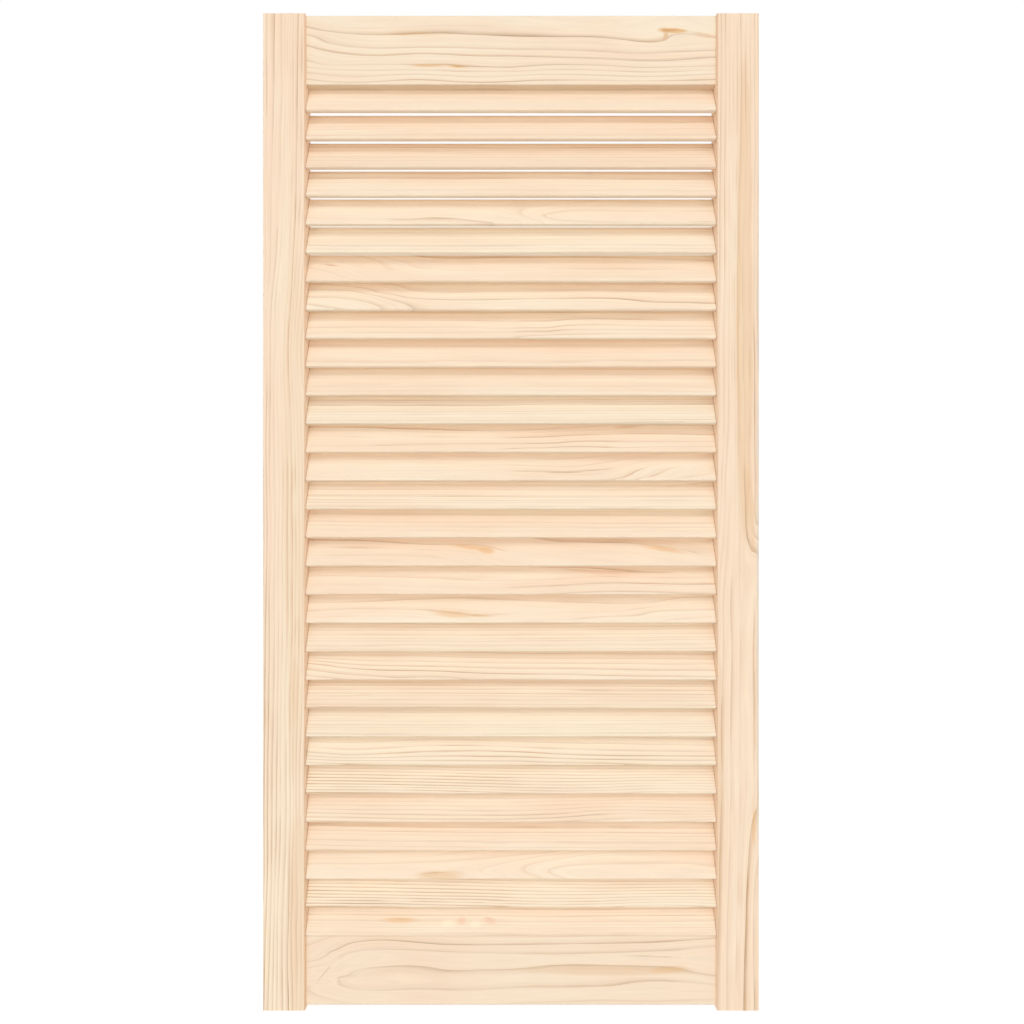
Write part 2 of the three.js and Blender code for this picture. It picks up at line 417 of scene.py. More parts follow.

# %% [markdown]
# ## The figure of each board
# The rows below are read off the picture: where a dark line enters a board, how it wanders
# and where it turns. Plain slats only get a ring spacing, a slope and a bow. `look` says how
# strong the lines are, how thin, whether the wood is pinkish (low) or yellowish (high), and how
# pale it is.

# %% Rings of the stiles and rails
figures = {
    "stile_left": [
        (1, 0.4, 263.6, 15, 263.4, 120, 263, 250),
        (2, 1.0, 267, 15, 266.8, 60, 266.7, 100),
        (2, 0.2, 266.4, 130, 266, 180, 265, 240, 263.4, 300, 263, 400),
        (3, 0.8, 274.8, 15, 274.6, 60),
        (3, 0.6, 273.8, 90, 273.2, 120),
        (3, 0.4, 272, 150, 271, 190, 271.2, 225, 270.6, 270),
        (3, 0.2, 267.8, 300, 266.3, 330, 266.3, 360),
        (3, 0.9, 266.6, 400, 265.8, 440, 266.6, 480, 266.8, 560),
        (3, 1.2, 265.8, 610, 265, 680),
        (3, 1.6, 264.8, 720, 264, 800, 264, 880),
        (4, 0.5, 281.8, 15, 281.6, 60, 281, 120, 280.3, 150),
        (4, 0.1, 279.6, 190, 278.5, 215),
        (4, 0.7, 277.2, 240, 275, 270),
        (4, 1.0, 271.9, 300),
        (4, 0.6, 270.4, 330, 270.6, 360, 269.6, 420, 269.6, 480, 269.8, 560),
        (4, 1.2, 269, 610, 269, 680, 268.4, 720),
        (4, 1.5, 267.8, 760, 267.5, 820, 267.1, 880, 265.8, 920, 264.3, 960, 263.8, 1005),
        (5, 0.2, 285.5, 15, 285.7, 90, 285.3, 180, 283.1, 210, 282.1, 240, 279.3, 270),
        (5, 0.7, 276.2, 300),
        (5, 0.3, 276, 330, 275, 360, 273.8, 400, 274.6, 440, 275, 480),
        (5, 0.5, 275.2, 520, 274.8, 560, 274.3, 620),
        (5, 0.9, 274.3, 680, 273.4, 720, 272.4, 760, 271.9, 820, 271.6, 880, 270.5, 920, 269.1, 960,
         268, 1005),
        (6, 0.1, 288, 15, 288, 90, 287, 180, 284.7, 240, 282, 270, 279.3, 300, 278.5, 330, 278, 360),
        (6, 0.2, 277.4, 400, 278.5, 450, 279, 500, 279, 600),
        (6, 0.7, 278.6, 640, 278, 680, 277.8, 720),
        (6, 1.0, 277.2, 760, 276.8, 800, 276.2, 840, 275, 880, 274.2, 920, 273.5, 960, 272.7, 1005),
        (7, 0.4, 290, 15, 289.3, 60, 290.2, 120),
        (7, 0.1, 289.5, 160, 288.5, 200, 287.2, 240, 284.8, 270, 282, 300, 281.4, 330, 280.8, 360,
         281.3, 400),
        (7, 0.5, 283, 500, 282, 560, 282.2, 620),
        (7, 0.3, 281.4, 680, 280.9, 720, 280.4, 760, 280.2, 800),
        (7, 0.9, 280, 840, 278.8, 880, 277.4, 920, 277.3, 960, 276.9, 1005),
        (8, 0.6, 293.1, 15, 293, 60, 292.7, 100),
        (8, 0.3, 292.5, 130, 292.2, 150),
        (8, 0.6, 291.8, 180, 291.1, 210, 289.9, 240),
        (8, 0.3, 288.6, 270, 286.8, 300, 284.4, 330, 283.7, 360, 285.1, 400, 286.5, 440),
        (8, 0.9, 287.8, 480, 287.4, 520, 287.9, 560, 288.1, 620),
        (8, 0.5, 287.4, 650, 285.9, 680, 286, 720),
        (8, 0.8, 286.7, 760, 286.6, 800, 286.1, 840, 284.4, 880, 283.1, 920, 283.2, 1005),
        (9, 1.2, 298.2, 15, 297.6, 50, 297, 100, 296.6, 130),
        (9, 0.6, 296.1, 155, 296.1, 180),
        (9, 1.1, 295.3, 210, 294.2, 240),
        (9, 1.4, 292.4, 270, 290.8, 300, 288.6, 330, 288.1, 360),
        (9, 0.9, 290, 400, 291.2, 440),
        (9, 1.4, 292, 480, 292.4, 530, 292.3, 600, 292, 640, 290.9, 680, 290.4, 720),
        (9, 1.1, 290.1, 760, 290, 840, 289.2, 880),
        (9, 1.4, 288.8, 920, 289, 1005),
        (10, 0.1, 302, 15, 301.5, 100, 301, 180, 298, 240, 295.5, 270, 293.5, 300, 291.6, 330,
         291, 360, 293.2, 400, 294.6, 440, 295.3, 500, 295.6, 600, 295.3, 650),
        (10, 0.3, 294.2, 680, 293.6, 720, 293.3, 800),
        (10, 0.7, 292, 870, 291.3, 920, 292, 960),
        (11, 0.4, 301, 240, 298.8, 270, 296.4, 300, 294.4, 330, 293.4, 360, 296.3, 400, 298, 440),
        (11, 0.7, 299, 520, 299.6, 600),
        (11, 1.2, 298.9, 640),
        (11, 0.9, 298.5, 680, 297.3, 720, 296.2, 760, 296, 800),
        (11, 0.5, 296.4, 840, 297.4, 900, 297.4, 960, 296.5, 1005),
        (12, 0.3, 300, 300, 298, 330, 297, 360, 300, 400, 301.8, 440, 303, 520, 302.4, 640),
        (12, 0.7, 301.6, 720, 300.1, 760, 299.8, 800),
        (12, 0.4, 300, 840, 300.8, 880, 301, 920, 300.5, 1005),
    ],
    "stile_right": [
        (10, 1.1, 724.3, 15, 724.2, 150, 723.9, 200, 723.9, 250),
        (10, 0.6, 723.4, 300, 722.8, 340, 722.6, 400),
        (10, 0.3, 721.5, 450, 719.8, 500),
        (9, 0.1, 728.4, 15, 728.4, 150, 728.6, 240),
        (9, 0.5, 728.4, 290, 728, 330, 727.7, 360),
        (9, 0.8, 727.6, 400, 726.6, 440, 724.3, 480),
        (9, 0.4, 723.2, 520, 720.3, 560, 718.6, 600),
        (8, 0.1, 732.3, 15, 732.3, 150, 731.8, 240, 731.6, 330, 731.8, 400, 731, 440, 729.2, 480),
        (8, 0.5, 727.8, 520, 725.5, 560, 722.6, 600, 721.5, 680),
        (8, 1.1, 720.3, 720, 720.1, 760, 720.2, 800, 719.2, 840, 718.4, 880, 717.6, 920),
        (7, 0.1, 736.2, 15, 736.2, 150, 734.8, 210, 733.9, 260, 733.8, 400, 734, 460, 733.2, 520,
         732, 560),
        (7, 0.7, 730.6, 600, 731, 640, 730.7, 680, 729.9, 720),
        (7, 0.4, 729.6, 760, 729.2, 840, 728, 880),
        (7, 0.6, 726.5, 920, 726, 1005),
        (6, 1.3, 739.9, 15, 740.1, 90, 740.1, 120, 739.8, 150, 738.8, 180, 737.6, 212, 736.8, 240,
         736.4, 280),
        (6, 1.4, 736.3, 330, 736.4, 370),
        (6, 0.9, 736.8, 400, 737.4, 440),
        (6, 0.4, 738, 480, 737.8, 520, 738.2, 560),
        (6, 0.2, 738.4, 600, 738.2, 700, 738.4, 760, 737.5, 850, 736, 920, 735, 1005),
        (5, 0.2, 744.4, 15, 744.4, 150, 742.8, 210),
        (5, 0.4, 741.8, 250, 742.9, 330, 743, 400, 743, 450),
        (5, 1.6, 743.2, 480, 744.4, 505, 745.3, 530, 748.5, 544, 753.5, 551, 757, 553),
        (4, 0.1, 749.4, 15, 749.4, 150, 748, 210, 747.4, 250, 748, 330, 748, 400, 748.2, 450,
         749.6, 490, 750.6, 525),
        (3, 0.9, 753.9, 15, 753.9, 150),
        (3, 0.5, 753.2, 210, 753.2, 270, 752.8, 310),
        (3, 1.6, 753.2, 345, 752.9, 400),
        (3, 1.1, 753.1, 440, 754.1, 480, 755.6, 525),
        (2, 0.8, 757, 15, 756.8, 200),
        (2, 1.6, 756.4, 270, 756.2, 310),
        (5, 0.2, 755.5, 600, 755, 760),
        (5, 1.6, 756, 806, 753, 814, 750.2, 829, 748.6, 853),
        (5, 2.0, 746.9, 880, 745.5, 920, 744.2, 960, 743.2, 1005),
        (4, 0.6, 755.4, 870, 753.1, 905, 753.1, 960),
        (4, 1.5, 753.8, 1005),
    ],
    "rail_top": [
        (-1, 0.2, 307, 9, 420, 10, 511, 11, 623, 10, 715, 9),
        (-0.5, 0.3, 590, 30, 620, 31.5, 640, 33.5, 655, 34, 663, 31, 672, 26.5, 690, 28.5, 705, 32,
         715, 33.5),
        (0, 1.2, 307, 27, 320, 30, 345, 33, 381, 35),
        (0, 1.8, 408, 34, 455, 34, 511, 36, 597, 37, 623, 39.5, 651, 42),
        (0, 1.0, 660, 41.2, 667, 38.5, 671, 35.5, 680, 33.8, 690, 34, 700, 36.2, 715, 37.6),
        (1, 1.3, 307, 35, 324, 42.5, 345, 46.4, 376, 48.5, 428, 47.6, 511, 49, 630, 53, 665, 52.5,
         715, 51),
        (2, 1.7, 307, 46, 327, 51.3, 345, 54, 387, 55, 422, 53.5, 511, 56, 611, 59, 715, 58),
        (3, 0.9, 307, 61, 324, 64.5, 380, 64.5),
        (3, 2.3, 430, 64.8, 446, 64.6, 470, 66.6),
        (3, 1.6, 511, 67.4, 535, 65.6, 640, 67.3, 715, 66),
        (4, 0.9, 307, 67, 347, 70, 420, 69.5, 490, 71, 540, 69.6, 600, 70, 715, 69.6),
        (5, 1.1, 307, 72.5, 347, 76.7, 415, 74.2, 476, 77, 535, 74.6),
        (5, 1.7, 600, 74.8, 715, 73.8),
        (6, 1.2, 307, 78.7, 350, 82.4),
        (6, 2.2, 420, 80.4, 485, 82.4, 535, 80.2, 715, 79.4),
        (7, 0.1, 307, 87.5, 400, 87, 500, 87.5, 600, 86.5, 715, 86),
    ],
    "rail_bottom": [
        (-1, 0.5, 327, 938, 317, 942, 307, 945),
        (0, 0.7, 307, 961, 317, 959, 326, 954.5),
        (0, 1.3, 336, 949, 350, 942.6, 381, 940, 401, 941, 449, 945.2, 511, 945.2, 602, 943,
         657, 942),
        (0, 1.0, 697, 939.3, 715, 938.5),
        (1, 0.3, 314, 986, 323, 975, 334, 962),
        (1, 1.0, 344, 954.5, 358, 951, 381, 950, 449, 952.2, 530, 953, 620, 952, 670, 950.4),
        (1, 0.7, 697, 947.6, 715, 946),
        (1, 0.5, 312, 991, 327, 997, 345, 1001, 420, 1001.5, 520, 1002, 610, 999.6, 670, 999.3,
         715, 998),
        (1.5, 0.1, 326, 981, 334, 971, 346, 962, 362, 958, 381, 957.4, 450, 959.5, 530, 960, 620, 959,
         690, 959, 715, 959),
        (1.5, 0.1, 328, 988, 345, 994, 381, 996.5, 450, 997, 530, 995, 620, 992, 715, 991),
        (1, 1.3, 373, 966, 390, 964.3, 415, 963.6, 430, 964.6, 454, 968.6, 480, 968.8, 511, 968.6,
         530, 967.5, 548, 966, 590, 965, 630, 965, 670, 966),
        (1, 1.1, 686, 969, 698, 972, 715, 974.6),
        (1, 0.7, 360, 968, 349, 971),
        (1, 1.2, 341, 975.5, 336.5, 981, 341, 986),
        (1, 0.7, 349, 988.5, 360, 990),
        (1, 0.9, 381, 991, 401, 990.4, 425, 990.6, 450, 991, 489, 989, 530, 986.4, 590, 985.4),
        (1, 1.2, 616, 984.6, 635, 982, 660, 981),
        (1, 0.6, 690, 982.2, 715, 984.5),
        (0.6, 0.1, 350, 980, 370, 979, 410, 978, 450, 979.5, 490, 979, 530, 977.5, 570, 976, 610, 975,
         650, 974, 690, 976, 715, 979.5),
    ],
}
print("points laid by hand:", sum(len(row) // 2 for rows in figures.values() for row in rows))

# %% Rings of the figured slats
figures.update({
    "slat_05": [
        (1, 0.2, 308, 203, 412, 203.5, 500, 204, 540, 205.5, 716, 205),
        (0, 0.1, 308, 216, 370, 217.5),
        (0, 1.3, 411, 217.8, 424, 216.9, 443, 216.7),
        (0, 0.9, 460, 218, 477, 219.8, 493.5, 221.7),
        (-1, 0.1, 308, 228, 420, 229),
        (1, 0.7, 521, 212, 523, 215, 529, 216.7, 538, 219.4, 546, 223),
        (2, 0.9, 716, 211.2, 620, 210.8, 565, 211.2, 552, 213.2, 544, 215.3, 550, 217.4, 559, 219.4,
         578, 220.2, 716, 220.2),
        (2.4, 0.1, 600, 215.6, 716, 215.6),
    ],
    "slat_07": [
        (0, 0.5, 400, 252, 380, 248),
        (0, 1.6, 422, 257, 439, 258, 456, 258.6, 493, 258.4, 536, 257.8, 599, 257.4, 620, 257.4,
         651, 258.2, 683, 259.4, 716, 260.8),
        (1, 0.6, 350, 252, 370, 255),
        (1, 1.0, 388, 258.6, 399, 260.6, 409, 263.6, 415.6, 266.6),
        (1, 0.1, 440, 269, 511, 270, 716, 271),
        (2, 0.5, 330, 252),
        (2, 1.0, 351, 254.8, 367, 257.4, 378, 261.2, 384.6, 266.4),
        (2, 0.1, 400, 273, 511, 277, 716, 278),
        (3, 0.1, 308, 257, 340, 262, 365, 270, 400, 279),
    ],
    "slat_08": [
        (-1, 0.8, 400, 286, 435, 292, 508, 292, 620, 291, 716, 293),
        (0, 1.0, 308, 284, 340, 286, 376, 292, 403, 297, 415, 298.4),
        (0, 1.4, 430, 299, 462, 299.8, 493, 299.8, 536, 299, 578, 298.3, 620, 299, 651, 301.5,
         683, 302.1, 716, 303.2),
        (1, 1.0, 308, 290, 336, 290, 357, 291.7, 376, 295.3, 388, 298.4, 399, 301.6, 409, 305.8,
         415.6, 309),
        (1, 0.1, 440, 309, 511, 309, 600, 308, 716, 312),
        (2, 1.2, 308, 296.8, 325, 297, 346, 298.4, 361, 300.5, 373.5, 303.7, 381, 306.9, 384, 309.4),
        (3, 1.0, 308, 304, 321, 306.5, 331, 307.3, 343, 309),
    ],
    "slat_09": [
        (0, 0.3, 308, 320, 400, 320, 511, 321.5),
        (0, 0.9, 532, 321.2, 546, 321.6, 559, 320.8, 573, 319.5, 620, 319.5),
        (0, 0.3, 716, 320),
        (1, 0.5, 308, 328, 388, 327.6, 472, 327, 504, 328.5),
        (1, 1.2, 527, 327.4, 548, 327.8, 559, 326.3, 578, 325.3),
        (1, 0.6, 641, 325.9, 716, 326.3),
        (2, 0.4, 308, 334, 329, 333, 420, 332.6, 500, 332),
        (2, 1.6, 535, 330.7, 548, 331.2, 560, 329.7),
        (2, 0.6, 578, 329.6, 640, 329.8, 716, 330),
        (3, 0.3, 308, 338, 500, 337.5),
        (3, 1.0, 540, 335, 557, 334.4, 578, 334),
        (3, 0.4, 640, 334, 716, 334.5),
    ],
    "slat_13": [
        (0, 1.5, 308, 426.6, 346, 427.2, 373, 427.6, 399, 428.7, 422, 429.1, 451, 430.1),
        (0, 0.5, 500, 430, 560, 428, 620, 426, 716, 425),
        (1, 0.15, 308, 436, 400, 437, 480, 437.4),
        (1, 1.3, 527, 437.2, 546, 436.8, 567, 435.5, 599, 434.5, 641, 434, 662, 434, 716, 434.5),
        (2, 0.3, 308, 446, 350, 446),
        (2, 0.8, 388, 445.6, 451, 444.1, 493, 443.9, 514, 443.9),
        (2, 1.5, 536, 443.5, 557, 443.1, 571, 442, 599, 441.4),
        (2, 0.8, 641, 441.8, 662, 441.4, 716, 441),
        (3, 0.2, 308, 452, 450, 451.5, 490, 450.6),
        (3, 1.5, 527, 448.2, 550, 448.2, 559, 447.2, 599, 447.3),
        (3, 0.6, 620, 448.1, 655, 446.7, 716, 446.5),
    ],
    "slat_14": [
        (0, 0.15, 308, 457, 511, 457, 640, 452),
        (1, 0.2, 308, 463, 480, 463.5),
        (1, 0.7, 527, 465.2, 567, 466.2, 599, 463),
        (1, 0.15, 650, 456, 716, 449),
        (2, 0.15, 308, 470, 420, 470, 500, 470.3),
        (2, 1.4, 526, 470.5, 546, 470.8, 554, 471.9, 567, 472.3, 578, 471.5, 586, 470.2, 593, 470.6),
        (2, 0.2, 625, 466, 660, 460, 716, 456),
        (3, 0.2, 308, 477, 500, 478, 590, 480.5),
        (3, 1.3, 615, 479, 626, 476.8, 632, 474.2, 636.6, 471.4),
        (3, 0.2, 655, 465, 716, 460),
        (4, 0.2, 625, 483),
        (4, 1.3, 641, 477.4, 651, 476.4, 660, 472.6, 667, 469.4),
        (4, 0.2, 690, 464, 716, 461),
        (5, 0.2, 670, 480, 716, 472),
    ],
    "slat_17": [
        (-1, 1, 308, 530, 400, 531, 480, 532),
        (-1, 1.3, 510, 538.4, 527, 539.1, 546, 541.6, 578, 543.7, 609, 544.8),
        (-1, 1.0, 641, 545.8, 662, 547.5, 679, 550, 688, 551.5),
        (-1, 0.2, 700, 555, 716, 559),
        (0, 2.2, 308, 540.6, 336, 540.6, 367, 541.2, 399, 542.7, 430, 544.4),
        (0, 1.1, 451, 544.8, 468, 544.8, 479, 545.8, 489, 547.9, 496, 549.8),
        (0, 0.0, 502, 551.5, 510, 553.5, 560, 563),
        (1, 0.15, 308, 548, 400, 549, 450, 551, 480, 555),
        (2, 0.7, 342, 555.5, 422, 556.5),
        (2, 0.15, 308, 556, 450, 560),
    ],
    "slat_18": [
        (0, 0.8, 308, 567, 460, 567.5, 530, 566),
        (0, 1.6, 554, 567.4, 575, 567.4, 599, 568.6, 620, 570, 641, 571.7, 652, 572.4),
        (0, 0.3, 685, 571.8, 716, 571),
        (1, 1.0, 308, 575, 331, 575, 367, 575.6, 409, 577.1, 441, 578.5, 451, 579.2),
        (1, 0.4, 511, 580, 548, 579.2, 578, 577.5, 640, 577.5, 716, 577),
        (2, 0.15, 308, 584, 400, 586, 490, 588),
        (2, 1.0, 527, 586.5, 540, 585.9),
        (2, 1.8, 555, 585.1, 575, 583.8, 599, 583, 620, 583, 641, 583.4, 716, 583.4),
        (3, 0.3, 308, 592, 460, 596),
        (3, 1.2, 550, 592.8, 578, 591.8, 609, 591.2, 641, 591.8, 716, 593),
    ],
    "slat_19": [
        (0, 1.0, 308, 602.9, 346, 601.9, 388, 600.2, 430, 599.1, 451, 598.7, 514, 599.8, 536, 600.8,
         567, 601.9, 599, 602.5, 641, 602.9, 655, 601.5, 671, 598.8, 693, 596.8, 716, 596.8),
        (1, 1.0, 308, 610.9, 329, 609.7, 361, 608.2, 388, 608.8, 409, 609.2),
        (1, 1.6, 424, 609.9, 434, 611.3, 451, 613),
        (1, 0.9, 472, 614.9, 493, 614.9),
        (1, 0.2, 520, 613.5, 560, 612.5, 590, 612.5, 623, 611, 660, 606, 690, 603.5, 716, 603.5),
        (2, 0.2, 308, 618, 376, 616.5, 442, 619.5, 500, 621, 560, 620.5),
        (2, 1.2, 592, 617.3, 609, 616.1, 630, 615.6, 641, 614.6, 649, 612, 658, 611, 679, 610.4,
         716, 610),
        (3, 0.3, 308, 625, 500, 627, 650, 622, 716, 617),
    ],
    "slat_21": [
        (0, 0.6, 308, 655, 357, 655.5, 420, 655.7, 451, 656.8, 514, 658, 620, 658.5, 716, 659),
        (1, 0.7, 308, 658, 357, 660, 409, 661, 451, 662, 514, 663, 620, 663.6, 716, 664),
        (2, 1.0, 308, 660.5, 340, 663.5, 380, 665.5, 422, 666.3, 451, 666.8, 483, 668, 514, 668.4,
         578, 668.9, 716, 670.5),
        (3, 1.6, 308, 663.5, 325, 665.3, 357, 668.9, 388, 670.4, 422, 671, 451, 672.1, 483, 673.6,
         514, 674.2),
        (3, 1.0, 557, 674.8, 641, 676.1, 716, 677),
        (4, 1.0, 308, 670, 336, 673.6, 367, 675.7, 399, 677.8, 413, 677.3, 441, 677.4, 472, 679.4),
        (4, 0.7, 520, 680, 716, 681),
        (5, 0.7, 308, 676, 340, 679, 370, 681),
    ],
    "slat_24": [
        (0, 0.4, 308, 741, 420, 740, 511, 741, 620, 744, 716, 745),
        (1, 0.4, 308, 747, 420, 746, 511, 747, 580, 750, 716, 751.5),
        (2, 0.9, 308, 751.8, 331, 753.3, 346, 754.5, 380, 753.8),
        (2, 1.3, 415, 752.4, 451, 751.2, 483, 750.8, 514, 751.7, 536, 752.7, 557, 754, 578, 755,
         620, 755.8, 716, 756),
        (3, 0.8, 308, 755.6, 357, 757.6, 390, 757.4),
        (3, 1.2, 415, 756.6, 451, 755.9, 493, 756.5, 536, 757.5, 567, 758.6, 599, 759.2, 716, 760),
        (4, 0.9, 308, 759, 367, 760.5, 450, 760.6, 511, 761, 567, 763, 620, 763.5, 716, 764),
    ],
    "slat_25": [
        (0, 0.6, 308, 767.6, 399, 768.8, 451, 770.2, 493, 771, 542, 771.6, 716, 771.8),
        (1, 0.8, 308, 770.8, 399, 771.8, 451, 773, 493, 774.2, 542, 774.6, 716, 774.7),
        (2, 1.2, 308, 773.9, 399, 775.2, 451, 776.4, 493, 777.3),
        (2, 0.7, 542, 778.3, 599, 778.3, 662, 777.4, 716, 777.5),
        (3, 1.2, 308, 777.5, 399, 778.5, 451, 779.5, 493, 780.6),
        (3, 0.8, 542, 781.7, 599, 781.4, 662, 780.2, 716, 780.6),
        (4, 1.1, 308, 780.6, 399, 781.4, 451, 782.7, 493, 783.7),
        (4, 0.5, 542, 784.7, 599, 784.5, 662, 783.3, 716, 783.5),
        (5, 1.6, 308, 783.9, 399, 784.5, 451, 785.6),
        (5, 0.9, 493, 786.7, 542, 787.8, 590, 787.8),
        (5, 0.6, 640, 785.8, 716, 786.4),
        (6, 0.5, 308, 786.8, 399, 787.3, 451, 788.2, 493, 789.3, 542, 790.8, 599, 790.5, 662, 788.4,
         716, 789),
        (7, 1.3, 308, 789.6, 399, 789.8, 451, 791),
        (7, 0.7, 493, 792, 542, 793.1),
        (7, 0.4, 600, 793.5, 662, 791.5, 716, 792),
    ],
    "slat_29": [
        (0, 0.7, 308, 880, 367, 880.4, 430, 881.7, 462, 882.5, 493, 883.6, 536, 884.2, 716, 884.2),
        (1, 0.8, 308, 883.2, 367, 883.8, 430, 885, 462, 885.7, 493, 886.8, 536, 887.5, 716, 887.2),
        (2, 1.2, 308, 886.5, 367, 887.3, 430, 888.8, 462, 889.6, 493, 890.4),
        (2, 0.8, 536, 891.4, 599, 891.4, 651, 890.4, 716, 890.4),
        (3, 1.3, 308, 890.4, 367, 891.3, 430, 892.5, 462, 893.2, 493, 893.9),
        (3, 0.8, 536, 894.6, 599, 894.2, 651, 893.5, 716, 893.8),
        (4, 1.1, 308, 893.8, 367, 894.6, 430, 895.8, 462, 896.3, 493, 896.9),
        (4, 0.7, 536, 898.3, 599, 898.2, 651, 896.7, 716, 897.1),
        (5, 1.5, 308, 897.1, 367, 897.7, 430, 898.8, 462, 899.2, 493, 900.2, 536, 901.5, 590, 901.3),
        (5, 0.7, 651, 899.4, 716, 900.2),
        (6, 0.5, 308, 900.2, 399, 900.9, 462, 902, 493, 903, 536, 904, 599, 903.8, 651, 902,
         716, 903.5),
        (7, 1.5, 308, 903.2, 367, 903.5, 399, 903.6, 430, 904.6, 462, 905.4, 493, 905.8, 536, 907),
    ],
    "slat_26": [
        (0, 0.5, 308, 797, 430, 797.5, 520, 798, 600, 796.5, 716, 796),
        (1, 0.6, 308, 801, 430, 801.6, 520, 802, 600, 800.5, 716, 800),
        (2, 0.6, 308, 805, 430, 805.8, 520, 806, 600, 803.5, 716, 804),
        (3, 0.7, 308, 809, 430, 810, 520, 810.5, 560, 809, 600, 807, 716, 808),
        (4, 1.4, 308, 813, 367, 814.2, 430, 815.2, 493, 815.4, 525, 815, 560, 813.8),
        (4, 1.0, 580, 812, 600, 810.5, 662, 810.5, 716, 810.5),
        (5, 1.4, 308, 817, 367, 817.8, 409, 819, 451, 819.4, 493, 819.4, 536, 818.3, 567, 816.8,
         588, 815),
        (5, 0.5, 620, 813.5, 716, 814),
        (6, 0.5, 600, 820, 650, 818, 716, 816.5),
    ],
    "slat_28": [
        (0, 0.4, 308, 859, 388, 858.6, 430, 856.9, 451, 854.6, 480, 851),
        (1, 1.0, 308, 863.9, 346, 863.9, 388, 863.6, 430, 862.2, 462, 860.6, 483, 859, 504, 856.5,
         525, 854.4, 546, 852.6),
        (1.5, 0.1, 308, 872, 400, 873, 460, 875),
        (2, 0.6, 483, 869.6, 493, 866.4, 504, 863.2, 525, 859, 546, 855.2, 567, 853.1),
        (2, 0.0, 488, 873, 498, 877),
        (3, 0.7, 599, 853, 578, 855.2, 557, 858.6, 536, 862.2, 527, 865.3, 524, 869.3, 529, 872.8,
         538, 876),
        (3.5, 0.1, 650, 856.5, 716, 857),
        (4, 0.8, 716, 867, 698, 865.2, 683, 863.8, 662, 863.5, 632, 863.5, 599, 863.5, 573, 864.3,
         557, 866.4, 550, 868.5, 546.5, 871.4, 552, 874, 561, 877),
        (4.5, 0.1, 600, 871, 650, 872, 716, 873),
    ],
})

# plain slats: ring spacing, slope and bow, all in mm
plain = {
    1: (6.5, 0.8, 0.5), 2: (6.5, -0.8, -0.6), 3: (3.4, 0.5, 0.4), 4: (5.5, 0.4, -0.5),
    6: (4.4, -0.6, 0.3), 10: (6.2, -0.7, 0.9), 11: (6.8, 0.4, -0.8),
    12: (3.6, -0.9, 0.6), 15: (3.9, 0.5, 0.3), 16: (6.0, 1.2, 0.8), 20: (3.8, -0.6, 0.9),
    22: (3.6, 0.8, -0.5), 23: (2.9, -0.4, 0.3), 27: (4.6, 1.5, 0.8), 30: (3.6, 0.5, 1.0),
}

# look: line strength, line thinness, warm 0 to pale 1, brightness; two looks are the board's two ends
looks = {
    "stile_left": ((0.60, 2.8, 0.70, 0.975), (0.62, 2.8, 0.20, 0.966)),
    "stile_right": ((0.50, 3.0, 0.30, 0.973), (0.45, 3.0, 0.15, 0.96)),
    "rail_top": ((0.42, 6.0, 0.60, 0.955), (0.38, 6.0, 0.60, 0.955)),
    "rail_bottom": (0.45, 5.0, 0.45, 0.95),
    "slat_01": ((0.20, 5.0, 0.60, 0.995), (0.20, 5.0, 0.30, 0.995)),
    "slat_02": ((0.34, 5.0, 0.45, 0.99), (0.34, 5.0, 0.10, 0.985)),
    "slat_03": (0.60, 3.5, 0.30, 0.985),
    "slat_04": (0.45, 5.0, 0.50, 0.99),
    "slat_05": ((0.30, 5.0, 0.55, 1.00), (0.34, 5.0, 0.75, 0.995)),
    "slat_06": ((0.30, 4.5, 1.00, 0.995), (0.30, 4.5, 0.75, 0.995)),
    "slat_07": (0.30, 6.0, 0.40, 0.99),
    "slat_08": ((0.42, 6.0, 0.90, 1.00), (0.42, 6.0, 0.50, 0.995)),
    "slat_09": (0.55, 5.0, 0.55, 0.995),
    "slat_10": (0.28, 5.0, 0.35, 0.99),
    "slat_11": (0.32, 5.0, 0.55, 0.985),
    "slat_12": (0.60, 3.5, 1.00, 0.985),
    "slat_13": (0.52, 6.0, 0.40, 0.995),
    "slat_14": (0.40, 7.0, 0.50, 0.985),
    "slat_15": (0.55, 3.8, 0.75, 1.00),
    "slat_16": ((0.38, 5.0, 0.30, 0.995), (0.38, 5.0, 0.50, 0.995)),
    "slat_17": ((0.36, 6.0, 0.50, 0.985), (0.36, 6.0, 0.25, 0.98)),
    "slat_18": (0.40, 6.0, 0.35, 0.99),
    "slat_19": ((0.38, 6.0, 0.50, 1.00), (0.38, 6.0, 0.70, 1.00)),
    "slat_20": (0.44, 3.5, 0.70, 0.995),
    "slat_21": (0.55, 4.5, 0.60, 1.00),
    "slat_22": ((0.62, 3.5, 0.35, 0.985), (0.62, 3.5, 0.75, 0.99)),
    "slat_23": ((0.42, 3.0, 1.00, 0.99), (0.42, 3.0, 0.90, 0.99)),
    "slat_24": (0.68, 5.0, 0.90, 0.995),
    "slat_25": ((0.78, 3.6, 1.00, 1.02), (0.78, 3.6, 0.80, 1.005)),
    "slat_26": ((0.44, 4.5, 0.60, 1.00), (0.44, 4.5, 0.35, 0.99)),
    "slat_27": ((0.55, 5.0, 0.25, 1.00), (0.55, 5.0, 0.40, 1.00)),
    "slat_28": ((0.32, 5.0, 0.75, 1.00), (0.32, 5.0, 0.35, 1.00)),
    "slat_29": ((0.70, 3.6, 1.00, 1.025), (0.76, 3.6, 0.80, 1.00)),
    "slat_30": ((0.42, 3.5, 0.60, 1.01), (0.42, 3.5, 0.40, 1.01)),
}
print("figured boards:", len(figures), "plain slats:", len(plain))

# %% [markdown]
# ## Writing the rings on the points
# The ring number, a distance across the rings and a distance along the board go into one vector
# on each point, and the look into a colour. The shader reads both. The rings also shift with
# depth, so that the edges, the backs and the sawn ends show rings of the same tree.

